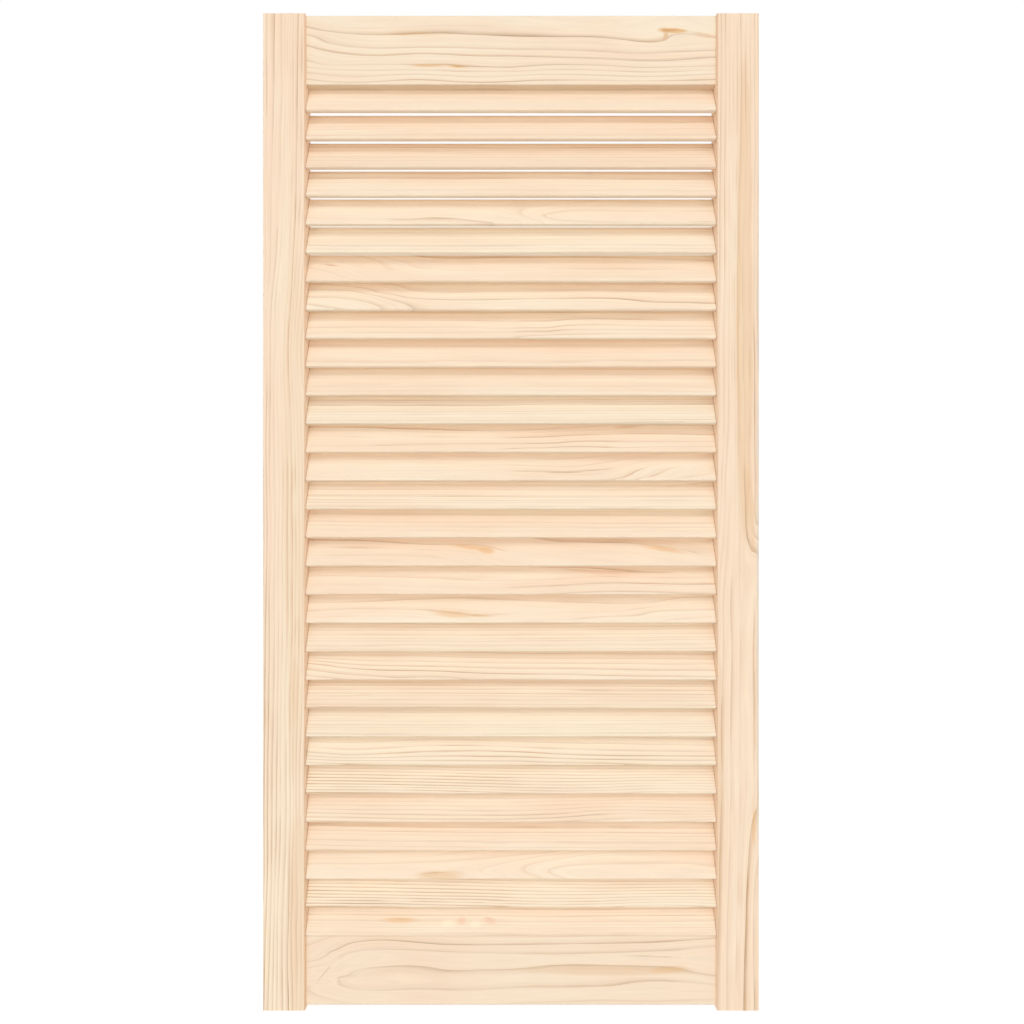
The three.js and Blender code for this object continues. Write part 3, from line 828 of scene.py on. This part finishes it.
# %% Write rings on a board
WOBBLE = 0.5  # how many rings the shader bends a line by
APART = (40, 200)  # rings and mm from one board's place in the noise to the next board's
SKIN = 0.7  # mm; what is further than this from the front or the back is an edge
MOST_ON_BACK = 1.2  # the strongest that a line may be on the back, and then on the edges
MOST_ON_STILE_EDGE = 1.0
MOST_ON_EDGE = 0.4
# on a stile's narrow sides: fainter lines, and a warmer, brighter colour that is painted bounce light
SIDE_LOOK_AND_BOUNCE = (0.6, 1, 0, 1.07)  # the look of a stile is taken times this on its narrow sides
TOUCH = 0.01  # mm; a point this near a side is on it


def write_rings(mesh, here, number):
    """Stores ring and look on every point of a board that is already in its place."""
    name = here["node"]
    co = np.empty(len(mesh.vertices) * 3)
    mesh.vertices.foreach_get("co", co)
    back = np.array(here["place"].inverted())
    local = (co.reshape(-1, 3) @ back[:3, :3].T + back[:3, 3]) / MM
    length, thickness, width = [side / MM for side in here["size"]]
    depth = local[:, 1] + thickness / 2
    if name in figures:
        points, rings, strengths = strokes(here, figures[name])
    else:
        points, rings, strengths = straight(here, *plain[number])
    # rings slant and bow through the wood, a little differently in every board
    slant = 0.5 + 0.45 * math.sin(2.4 * number)
    across = local[:, 2] + slant * depth + 0.006 * depth ** 2
    ring = plate(points, rings)(local[:, 0], across)
    if name not in figures:
        # good years and lean ones: the rings of a plain board aren't evenly wide
        ring = ring + 0.24 * np.sin(2.1 * ring + 3 * number) + 0.1 * np.sin(5.3 * ring + 5 * number)
    span = float(ring.max() - ring.min())
    spacing = width / span
    values = np.stack([ring + APART[0] * number - WOBBLE / 2,
                       ring * spacing + APART[1] * number, local[:, 0]], axis=1)
    stored = mesh.attributes.new("ring", "FLOAT_VECTOR", "POINT")
    stored.data.foreach_set("vector", values.astype(np.float32).ravel())
    stored = mesh.attributes.new("look", "FLOAT_COLOR", "POINT")
    ends = np.array(looks[name] if isinstance(looks[name][0], tuple) else (looks[name],) * 2)
    share = np.clip(local[:, :1] / length + 0.5, 0, 1)
    look = ends[0] * (1 - share) + ends[1] * share
    strong = nearby(points, strengths)(local[:, 0], across)
    # lines listed as strong keep to a plain strength on the edges and the back
    is_stile = name.startswith("stile")
    most_on_edge = MOST_ON_STILE_EDGE if is_stile else MOST_ON_EDGE
    most = np.where(depth > thickness - SKIN, MOST_ON_BACK, most_on_edge)
    look[:, 0] *= np.where(depth > SKIN, np.minimum(strong, most), strong)
    if is_stile:
        # painted bounce light: the narrow sides are warmer and brighter, with fainter lines
        look[np.abs(local[:, 2]) > width / 2 - TOUCH] *= SIDE_LOOK_AND_BOUNCE
    stored.data.foreach_set("color", look.astype(np.float32).ravel())
    return span


# %% [markdown]
# ## Planed pine
# This is Scots pine or spruce-like softwood, planed and left bare. It is a matt, warm cream with
# tan lines where the late wood is dense. One side of each line is soft and the other sharp,
# because growth slows through a summer and stops at once. The colour could be painted on, but
# built from the ring numbers it follows every board round its edges. Fine streaks along the grain,
# a slow drift between pinkish and yellowish, and a slight gloss on the hard lines come on top.

# %% Pine material
EARLY_WARM = "#f9dec2"
EARLY_PALE = "#faead1"
LATE_BROWN = "#a98761"
LATE_ORANGE = "#d29a60"

# painted shade at the joints: along the stile's rounded inner edge, and in the narrow gaps of rails and
# slats at the stile; distance from the middle of the door, half width, share, colour
JOINT_SHADES = {
    "stile": (0.2056, 0.0005, 0.4, "#d9965f"),
    "rail": (0.205, 0.0002, 0.5, "#a8714b"),
    "slat": (0.2046, 0.0003, 0.5, "#a8714b"),
}


def planed_pine(name, marks=(), weakest=0.3, joint=JOINT_SHADES["slat"]):
    """Bare planed pine. A mark is x, z, half length, half height, turn, colour, share and softness.
    Chance makes each ring weaker, down to the weakest share."""
    material, tree = bare_material(name)
    ring = add(tree, "Attribute", {"attribute_name": "ring"})
    look = add(tree, "Attribute", {"attribute_name": "look"})
    look_parts = add(tree, "SeparateColor", links={0: look.outputs["Color"]})
    parts = add(tree, "SeparateXYZ", links={0: ring.outputs["Vector"]})

    # a wobble that bends the rings a little, every 30 mm across and 160 mm along
    slow_place = add(tree, "Mapping", {"Scale": (0, 1 / 30, 1 / 160)},
                     {"Vector": ring.outputs["Vector"]})
    slow = add(tree, "TexNoise", {"Scale": 1.0, "Detail": 2.0}, {"Vector": slow_place.outputs[0]})
    bent = add(tree, "Math", {"operation": "MULTIPLY_ADD", 1: WOBBLE},
               {0: slow.outputs["Fac"], 2: parts.outputs["X"]})

    # late wood: rises through the ring and ends at once
    within = add(tree, "Math", {"operation": "FRACT"}, {0: bent.outputs[0]})
    late = add(tree, "Math", {"operation": "POWER"},
               {0: within.outputs[0], 1: look_parts.outputs["Green"]})
    year = add(tree, "Math", {"operation": "FLOOR"}, {0: bent.outputs[0]})
    chance = add(tree, "TexWhiteNoise", {"noise_dimensions": "1D"}, {"W": year.outputs[0]})
    strength = add(tree, "MapRange", {"To Min": weakest, "To Max": 1.0},
                   {"Value": chance.outputs["Value"]})
    along_place = add(tree, "Mapping", {"Scale": (0, 1 / 9, 1 / 70)},
                      {"Vector": ring.outputs["Vector"]})
    along = add(tree, "TexNoise", {"Scale": 1.0, "Detail": 3.0}, {"Vector": along_place.outputs[0]})
    patchy = add(tree, "MapRange", {"From Min": 0.3, "From Max": 0.7, "To Min": 0.6, "To Max": 1.35},
                 {"Value": along.outputs["Fac"]})
    strong = add(tree, "Math", {"operation": "MULTIPLY"}, {0: late.outputs[0], 1: strength.outputs[0]})
    varied = add(tree, "Math", {"operation": "MULTIPLY"}, {0: strong.outputs[0], 1: patchy.outputs[0]})

    # faint lines between the rings
    finer = add(tree, "Math", {"operation": "MULTIPLY", 1: 2.7}, {0: bent.outputs[0]})
    finer_within = add(tree, "Math", {"operation": "FRACT"}, {0: finer.outputs[0]})
    finer_late = add(tree, "Math", {"operation": "POWER", 1: 4.0}, {0: finer_within.outputs[0]})
    lines = add(tree, "Math", {"operation": "MULTIPLY_ADD", 1: 0.2},
                {0: finer_late.outputs[0], 2: varied.outputs[0]})
    amount = add(tree, "Math", {"operation": "MULTIPLY"},
                 {0: lines.outputs[0], 1: look_parts.outputs["Red"]})

    # the slow drift of hue
    hue_place = add(tree, "Mapping", {"Scale": (0, 1 / 16, 1 / 190), "Location": (0, 3.3, 7.1)},
                    {"Vector": ring.outputs["Vector"]})
    hue = add(tree, "TexNoise", {"Scale": 1.0, "Detail": 2.0}, {"Vector": hue_place.outputs[0]})
    hue_share = add(tree, "MapRange", {"From Min": 0.25, "From Max": 0.75, "To Min": -0.5,
                                       "To Max": 0.5, "clamp": False}, {"Value": hue.outputs["Fac"]})
    hue_sum = add(tree, "Math", {"operation": "ADD", "use_clamp": True},
                  {0: hue_share.outputs[0], 1: look_parts.outputs["Blue"]})
    early = add(tree, "Mix", {"data_type": "RGBA", 6: linear(EARLY_WARM), 7: linear(EARLY_PALE)},
                {0: hue_sum.outputs[0]})

    # late wood is orange where it begins and brown where it ends
    browner = add(tree, "Math", {"operation": "MULTIPLY_ADD", 1: -0.3, 2: 0.3}, {0: late.outputs[0]})
    orange_at = add(tree, "Math", {"operation": "ADD"}, {0: hue.outputs["Fac"], 1: browner.outputs[0]})
    brown_or_orange = add(tree, "MapRange", {"From Min": 0.4, "From Max": 0.75},
                          {"Value": orange_at.outputs[0]})

    # fibres: streaks about 1 mm wide and 50 mm long
    fibre_place = add(tree, "Mapping", {"Scale": (0, 0.9, 1 / 50)}, {"Vector": ring.outputs["Vector"]})
    fibre = add(tree, "TexNoise", {"Scale": 1.0, "Detail": 4.0, "Roughness": 0.6},
                {"Vector": fibre_place.outputs[0]})
    fibre_shade = add(tree, "MapRange", {"From Min": 0.3, "From Max": 0.7,
                                         "To Min": 0.955, "To Max": 1.03},
                      {"Value": fibre.outputs["Fac"]})
    shade = add(tree, "Math", {"operation": "MULTIPLY"},
                {0: fibre_shade.outputs[0], 1: look.outputs["Alpha"]})
    summer = add(tree, "Mix", {"data_type": "RGBA", 6: linear(LATE_BROWN), 7: linear(LATE_ORANGE)},
                 {0: brown_or_orange.outputs[0]})
    colour = add(tree, "Mix", {"data_type": "RGBA"},
                 {0: amount.outputs[0], 6: early.outputs[2], 7: summer.outputs[2]})

    # resin streaks and small knots, feathered along the grain
    place = add(tree, "TexCoord")
    push = add(tree, "MapRange", {"To Min": -0.0025, "To Max": 0.0025}, {"Value": fibre.outputs["Fac"]})
    pushed = add(tree, "VectorMath", {"operation": "ADD"},
                 {0: place.outputs["Object"], 1: push.outputs[0]})
    for x, z, length, height, turn, code, share, soft in marks:
        spot = add(tree, "Mapping", {"vector_type": "TEXTURE", "Location": (x, 0, z),
                                     "Rotation": (0, math.radians(turn), 0),
                                     "Scale": (length, 1, height)}, {"Vector": pushed.outputs[0]})
        ball = add(tree, "TexGradient", {"gradient_type": "SPHERICAL"}, {"Vector": spot.outputs[0]})
        edge = add(tree, "MapRange", {"From Max": soft, "To Max": share,
                                      "interpolation_type": "SMOOTHSTEP"},
                   {"Value": ball.outputs["Fac"]})
        colour = add(tree, "Mix", {"data_type": "RGBA", 7: linear(code)},
                     {0: edge.outputs[0], 6: colour.outputs[2]})

    # painted shade: a thin darker line where a board meets a stile
    joint_x, joint_half, shade_most, shade_code = joint
    where = add(tree, "SeparateXYZ", links={0: place.outputs["Object"]})
    out = add(tree, "Math", {"operation": "ABSOLUTE"}, {0: where.outputs["X"]})
    in_joint_shade = add(tree, "Math", {"operation": "COMPARE", 1: joint_x, 2: joint_half},
                   {0: out.outputs[0]})
    joint_shade_share = add(tree, "Math", {"operation": "MULTIPLY", 1: shade_most},
                      {0: in_joint_shade.outputs[0]})
    colour = add(tree, "Mix", {"data_type": "RGBA", 7: linear(shade_code)},
                 {0: joint_shade_share.outputs[0], 6: colour.outputs[2]})

    shaded = add(tree, "VectorMath", {"operation": "SCALE"},
                 {0: colour.outputs[2], "Scale": shade.outputs[0]})
    rough = add(tree, "MapRange", {"To Min": 0.66, "To Max": 0.5}, {"Value": varied.outputs[0]})
    height = add(tree, "Math", {"operation": "MULTIPLY_ADD", 1: 0.5},
                 {0: fibre.outputs["Fac"], 2: varied.outputs[0]})
    relief = add(tree, "Bump", {"Strength": 0.35, "Distance": 0.00006}, {"Height": height.outputs[0]})
    wood = add(tree, "BsdfPrincipled", {"IOR": 1.5, "Specular IOR Level": 0.2},
               {"Base Color": shaded.outputs[0], "Roughness": rough.outputs[0],
                "Normal": relief.outputs[0]})
    add(tree, "OutputMaterial", links={"Surface": wood.outputs[0]})
    return material


pine = planed_pine("planed_pine")
print("nodes in planed pine:", len(pine.node_tree.nodes))

# %% [markdown]
# ## Streaks and small knots
# Here and there resin has soaked the wood, or a twig once grew, and left an orange or brown
# flame a few centimetres long. They could be more noise, but the eye knows this door by them, so
# each is placed one by one on the board that has it, as a soft ellipse.
# The grey strip down the outer edge of the right stile is no such mark but painted shade.

# %% Marks by board
ORANGE = "#eab97f"
BROWN = "#c98f58"
TAN = "#e6c094"
ROSE = "#f5d3bd"
PEACH = "#fbdcc4"
# painted shade: a grey strip down the rounded outer edge of the right stile
EDGE_SHADE = "#ded4c9"
PINK = "#f0bd9c"
CREAM = "#fff0d4"

# per board: x, y in the picture, half length, half height (mm), turn (degrees), colour, share, softness
marks = {
    "rail_top": [(672, 30, 18, 3.6, 2, ORANGE, 0.85, 0.45), (669, 29.6, 11, 2, 1, BROWN, 0.6, 0.7),
                 (665, 35.5, 3, 7, 12, TAN, 0.8, 0.6), (704, 34.6, 18, 2.8, 9, TAN, 0.55, 0.7),
                 (408, 33.8, 58, 1.5, 0, ORANGE, 0.4, 0.9), (428, 65.2, 26, 1.5, 0, ORANGE, 0.8, 0.8),
                 (457, 66, 15, 1.6, 4, ORANGE, 0.9, 0.8), (459, 66.2, 9, 0.9, 4, BROWN, 0.5, 0.9)],
    "rail_bottom": [(610, 970.5, 100, 6, 0, TAN, 0.42, 0.6), (668, 969, 24, 4.5, -2, ORANGE, 0.4, 0.6),
                    (652, 956, 42, 0.9, 2, LATE_BROWN, 0.35, 0.8),
                    (324, 972.5, 17, 0.9, -50, LATE_BROWN, 0.35, 0.8)],
    "slat_05": [(640, 215.5, 90, 5, 0, ROSE, 0.15, 0.5), (438, 217.6, 28, 1.8, 3, BROWN, 0.2, 0.9)],
    "slat_07": [(331, 264.9, 11, 1.1, 6, BROWN, 0.5, 0.8)],
    "slat_13": [(628, 426.3, 22, 1.5, -4, BROWN, 0.4, 0.7)],
    "slat_14": [(560, 471.6, 34, 0.9, 1, BROWN, 0.4, 0.9), (626, 475.8, 12, 1.0, -20, BROWN, 0.3, 0.9),
                (655, 474, 17, 1.0, -16, BROWN, 0.3, 0.9)],
    "slat_15": [(690, 483.9, 40, 0.7, -5, BROWN, 0.35, 0.9), (615, 486.7, 40, 0.6, 1, BROWN, 0.3, 0.9)],
    "slat_17": [(470, 546.8, 30, 3.2, 7, ORANGE, 0.6, 0.8), (486, 550, 11, 4, 8, ORANGE, 0.6, 0.6),
                (663, 549, 32, 3, 9, ORANGE, 0.6, 0.8)],
    "slat_18": [(602, 572, 46, 2.8, 3, PINK, 0.5, 0.8), (622, 571.2, 32, 0.9, 4, BROWN, 0.5, 0.8),
                (575, 569.4, 18, 1.2, 3, TAN, 0.6, 0.8)],
    "slat_19": [(452, 614, 27, 4.4, 4, ORANGE, 0.5, 0.75), (480, 615.4, 18, 1.8, 2, ORANGE, 0.5, 0.8),
                (476, 615.2, 22, 1, 2, BROWN, 0.25, 0.9)],
    "slat_22": [(350, 694.8, 42, 0.7, -1, BROWN, 0.35, 0.9)],
    "slat_23": [(500, 724, 190, 11, 0, CREAM, 0.2, 0.3)],
    "slat_28": [(439, 875, 30, 5.4, 0, TAN, 0.6, 0.6), (432, 872.4, 17, 1, -3, BROWN, 0.35, 0.8)],
    "slat_30": [(399, 919.6, 25, 3.4, 0, ORANGE, 0.5, 0.7), (400, 918.4, 21, 0.7, 0, BROWN, 0.25, 0.9),
                (448, 923, 10, 4, 0, CREAM, 0.6, 0.7), (475, 924, 8, 4, 0, CREAM, 0.6, 0.7),
                (461, 920.4, 6.5, 4.4, 0, PINK, 0.5, 0.8), (489, 920, 9, 4, 10, PINK, 0.5, 0.8),
                (489, 918, 7, 0.8, 4, BROWN, 0.4, 0.9)],
    "stile_right": [(744.5, 300, 8.3, 260, 0, TAN, 0.4, 0.15), (737.8, 330, 2.6, 200, 0, TAN, 0.4, 0.5),
                    (753.4, 690, 1.2, 110, 0, LATE_ORANGE, 0.4, 0.6),
                    (719.4, 810, 2.2, 200, 0, TAN, 0.45, 0.5),
                    (752.5, 543, 3.0, 12, 8, ORANGE, 0.25, 0.6), (750, 506, 4.5, 46, -3, TAN, 0.5, 0.5),
                    # the last mark on the next line is painted shade down the stile's outer edge
                    (753.6, 824, 2, 30, 0, ORANGE, 0.5, 0.6), (757, 512, 1.4, 520, 0, EDGE_SHADE, 0.6, 0.6)],
    "stile_left": [(298, 925, 10.5, 125, 0, TAN, 0.3, 0.2), (270.3, 120, 2.2, 120, 0, PEACH, 0.6, 0.6),
                   (270.3, 520, 2.2, 110, 0, PEACH, 0.6, 0.6), (294, 690, 5, 50, 0, TAN, 0.3, 0.6),
                   (294, 500, 12, 330, 0, TAN, 0.17, 0.3), (271, 650, 9, 75, 0, CREAM, 0.2, 0.4),
                   (272, 940, 10, 95, 0, CREAM, 0.25, 0.4)],
}
pines = {}
for name in sorted(set(figures) | set(marks)):
    here = boards[name]
    placed = []
    for px, py, length, height, turn, code, share, soft in marks.get(name, ()):
        x, z = seen(here, px, py)
        point = here["place"] @ Vector((x * MM, -here["size"][1] / 2, z * MM))
        placed.append((point.x, point.z, length * MM, height * MM, turn, code, share, soft))
    # each board takes the painted joint shade of its kind
    pines[name] = planed_pine("planed_pine_" + name, placed, 1.0 if name in figures else 0.3,
                              JOINT_SHADES[name.split("_")[0]])
print("boards with marks:", len(marks))

# %% [markdown]
# ## Sawn ends
# The ends of the stiles are sawn straight across the fibres. Cut straws take light in instead of
# throwing it back, so end grain is darker and duller than a face, and its rings stand out. It gets
# its own material on the end faces only.

# %% End grain material
end_grain, tree = bare_material("sawn_pine_end_grain")
ring = add(tree, "Attribute", {"attribute_name": "ring"})
parts = add(tree, "SeparateXYZ", links={0: ring.outputs["Vector"]})
within = add(tree, "Math", {"operation": "FRACT"}, {0: parts.outputs["X"]})
late = add(tree, "Math", {"operation": "POWER", 1: 2.5}, {0: within.outputs[0]})
place = add(tree, "TexCoord")
pores = add(tree, "TexNoise", {"Scale": 1800.0, "Detail": 2.0}, {"Vector": place.outputs["Object"]})
wood = add(tree, "Mix", {"data_type": "RGBA", 6: linear("#efcfa6"), 7: linear("#c8925c")},
           {0: late.outputs[0]})
pore_shade = add(tree, "MapRange", {"From Min": 0.3, "From Max": 0.7, "To Min": 0.86, "To Max": 1.05},
                 {"Value": pores.outputs["Fac"]})
shaded = add(tree, "VectorMath", {"operation": "SCALE"},
             {0: wood.outputs[2], "Scale": pore_shade.outputs[0]})
relief = add(tree, "Bump", {"Strength": 0.5, "Distance": 0.0001}, {"Height": pores.outputs["Fac"]})
matt = add(tree, "BsdfPrincipled", {"Roughness": 0.85, "IOR": 1.5, "Specular IOR Level": 0.2},
           {"Base Color": shaded.outputs[0], "Normal": relief.outputs[0]})
add(tree, "OutputMaterial", links={"Surface": matt.outputs[0]})
print("end grain nodes:", len(tree.nodes))

# %% [markdown]
# ## Finishing a piece
# Each finished board becomes an object at the origin with its place in its mesh. It takes its
# material, rides on the one body of the door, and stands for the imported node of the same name.

# %% Finish a board
SQUARE_ON = 0.95  # cosine; a face that looks this much along its board is a sawn end


def finish(mesh, here, number, slot):
    """Writes the rings, gives the materials and puts the board in the scene."""
    name = here["node"]
    span = write_rings(mesh, here, number)
    mesh.materials.clear()
    mesh.materials.append(pines.get(name, pine))
    mesh.materials.append(end_grain)
    length_axis = here["place"].to_3x3() @ Vector((1, 0, 0))
    normals = np.empty(len(mesh.polygons) * 3)
    mesh.polygons.foreach_get("normal", normals)
    endwise = np.abs(normals.reshape(-1, 3) @ np.array(length_axis)) > SQUARE_ON
    if slot == "slats":
        endwise[:] = False
    mesh.polygons.foreach_set("material_index", endwise.astype(np.int32))
    piece = bpy.data.objects.new("pine_" + name, mesh)
    bpy.context.scene.collection.objects.link(piece)
    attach(piece, "root")
    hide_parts(name)
    return span


# %% [markdown]
# ## Slats
# A slat is a thin strip with well rounded edges, run through a moulding machine, so all thirty are
# alike but for their wood. One blank is made and copied, and each copy is leaned into its place
# before its own rings are written on it.

# %% Slats
SLAT_STEPS = (4, 1.2, 1.8)  # mm between points along, through and across the board

bm = blank(*slat_size, SLAT_ROUNDS, 6, SLAT_STEPS)
slat_blank = to_mesh(bm, "slat_blank")
for i in range(1, SLATS + 1):
    here = boards[f"slat_{i:02d}"]
    strip = slat_blank.copy()
    strip.name = "pine_" + here["node"]
    strip.transform(here["place"])
    finish(strip, here, i, "slats")
print("points in a slat:", len(slat_blank.vertices))
bpy.data.meshes.remove(slat_blank)

# %% [markdown]
# ## Slots and dowel holes
# Every slat ends in a slanted slot 7 mm deep in each stile, and two dowels hold each corner.
# The slots could be left out, since the slats hide them, but then the wood would pass through
# itself. So the slot is a slightly larger slat, and a Boolean takes it out.

# %% Cutting tools
UNMARKED = (1e6, 1e6, 1e6)  # steps so long that a blank gets no points between its corners
TOOL_START = 0.19  # metres from the middle of the door
BORE_SIDES = 24


def slot_tools(side):
    """One mesh with the thirty slot shapes for the stile on the given side."""
    bm = bmesh.new()
    for i in range(1, SLATS + 1):
        here = boards[f"slat_{i:02d}"]
        one = blank(*[span + 2 * CLEARANCE for span in here["size"]],
                    [radius + CLEARANCE for radius in SLAT_ROUNDS], 5, UNMARKED)
        bmesh.ops.bisect_plane(one, geom=one.verts[:] + one.edges[:] + one.faces[:], dist=TOUCHING,
                               plane_co=(side * TOOL_START, 0, 0), plane_no=(side, 0, 0),
                               clear_inner=True)
        bmesh.ops.holes_fill(one, edges=one.edges)
        bmesh.ops.transform(one, matrix=here["place"], verts=one.verts)
        part = bpy.data.meshes.new("part")
        one.to_mesh(part)
        one.free()
        bm.from_mesh(part)
        bpy.data.meshes.remove(part)
    return bm


def add_bores(bm, side):
    """Adds the four dowel holes of one side to the cutting tools."""
    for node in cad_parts:
        low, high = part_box(node)
        if node.startswith("dowel") and side * (low.x + high.x) > 0:
            room = (high.z - low.z) / 2 + CLEARANCE
            turn = Matrix.Translation((low + high) / 2) @ Matrix.Rotation(math.pi / 2, 4, "Y")
            bmesh.ops.create_cone(bm, cap_ends=True, segments=BORE_SIDES, radius1=room, radius2=room,
                                  depth=high.x - low.x + 2 * CLEARANCE, matrix=turn)


# %% [markdown]
# ## Stiles
# A stile is a straight board, 42 by 21 mm and as tall as the door, with its arrises barely broken.
# Its blank is marked off before the slots are cut, so that the rings have points to be written on.

# %% Stiles
STILE_STEPS = (7, 3.5, 2.0)

# the boards' numbers run on from the slats'
for name, side, number in (("stile_left", -1, 31), ("stile_right", 1, 32)):
    here = boards[name]
    bm = blank(*here["size"], STILE_ARRIS, 3, STILE_STEPS)
    bmesh.ops.transform(bm, matrix=here["place"], verts=bm.verts)
    tools = slot_tools(side)
    add_bores(tools, side)
    stile = cut(to_mesh(bm, "pine_" + name), to_mesh(tools, "tools"))
    stile.set_sharp_from_angle(angle=CREASE)
    span = finish(stile, here, number, "stiles")
    print(name, "points:", len(stile.vertices), "rings:", round(span, 1))

# %% [markdown]
# ## Rails
# The rails are thinner than the stiles and set back behind them, which gives the fine step where
# they meet. The joint is glued up tight, so no more than a hair of shade shows in it, and a thin line
# of painted shade is laid along it. The top rail also loses its back lower edge to a slanted rebate,
# because the first slat reaches up behind it.

# %% Rails
RAIL_STEPS = (2.5, 3.5, 1.6)
JOINT_HAIR = 0.05 * MM  # what is left open between a rail and a stile
REBATE_HAIR = 0.02 * MM  # and between the rebate and the first slat
REBATE_REACH = 30 * MM  # far enough to come out of the back

for name, number in (("rail_top", 33), ("rail_bottom", 34)):
    here = boards[name]
    length, thickness, width = here["size"]
    bm = blank(length + 2 * (CLEARANCE - JOINT_HAIR), thickness, width, ARRIS, 3, RAIL_STEPS)
    bmesh.ops.transform(bm, matrix=here["place"], verts=bm.verts)
    tools = bmesh.new()
    add_bores(tools, -1)
    add_bores(tools, 1)
    rail = cut(to_mesh(bm, "pine_" + name), to_mesh(tools, "tools"))
    if name == "rail_top":
        first = boards["slat_01"]
        tools = bmesh.new()
        bmesh.ops.create_cube(tools, size=1)
        front = SLAT_THICKNESS / 2 + REBATE_HAIR
        size = (1, front + REBATE_REACH, SLAT_WIDTH + 2 * CLEARANCE)
        bmesh.ops.scale(tools, vec=size, verts=tools.verts)
        bmesh.ops.translate(tools, vec=(0, (REBATE_REACH - front) / 2, 0), verts=tools.verts)
        bmesh.ops.transform(tools, matrix=first["place"], verts=tools.verts)
        rail = cut(rail, to_mesh(tools, "rebate"))
    rail.set_sharp_from_angle(angle=CREASE)
    span = finish(rail, here, number, "rails")
    print(name, "points:", len(rail.vertices), "rings:", round(span, 1))

# %% [markdown]
# ## Dowels
# The corner dowels are turned from beech, which is harder than pine and browner, and is known by
# its short dark flecks. They sit out of sight inside the joints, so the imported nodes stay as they
# are and only take the material.

# %% Dowels
beech, tree = bare_material("turned_beech")
place = add(tree, "TexCoord")
fleck_place = add(tree, "Mapping", {"Scale": (400, 2500, 2500)}, {"Vector": place.outputs["Object"]})
fleck = add(tree, "TexNoise", {"Scale": 1.0, "Detail": 2.0}, {"Vector": fleck_place.outputs[0]})
fleck_share = add(tree, "MapRange", {"From Min": 0.55, "From Max": 0.7, "To Max": 0.7},
                  {"Value": fleck.outputs["Fac"]})
tone = add(tree, "Mix", {"data_type": "RGBA", 6: linear("#d9b183"), 7: linear("#b07f52")},
           {0: fleck_share.outputs[0]})
relief = add(tree, "Bump", {"Strength": 0.3, "Distance": 0.00005}, {"Height": fleck.outputs["Fac"]})
turned = add(tree, "BsdfPrincipled", {"Roughness": 0.6, "IOR": 1.5},
             {"Base Color": tone.outputs[2], "Normal": relief.outputs[0]})
add(tree, "OutputMaterial", links={"Surface": turned.outputs[0]})
dowels = [o for name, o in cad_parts.items() if name.startswith("dowel")]
for dowel in dowels:
    dowel.data.materials.clear()
    dowel.data.materials.append(beech)
print("dowels:", len(dowels))

# %% [markdown]
# ## Sizes
# The finished door has to fill the same box as the imported one, so the differences between the two
# boxes are printed.

# %% Sizes
low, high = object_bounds()
differences = [(a - b) / MM for a, b in zip((*low, *high), (*cad_low, *cad_high))]
print("box differs by, mm:", [round(value, 3) for value in differences])
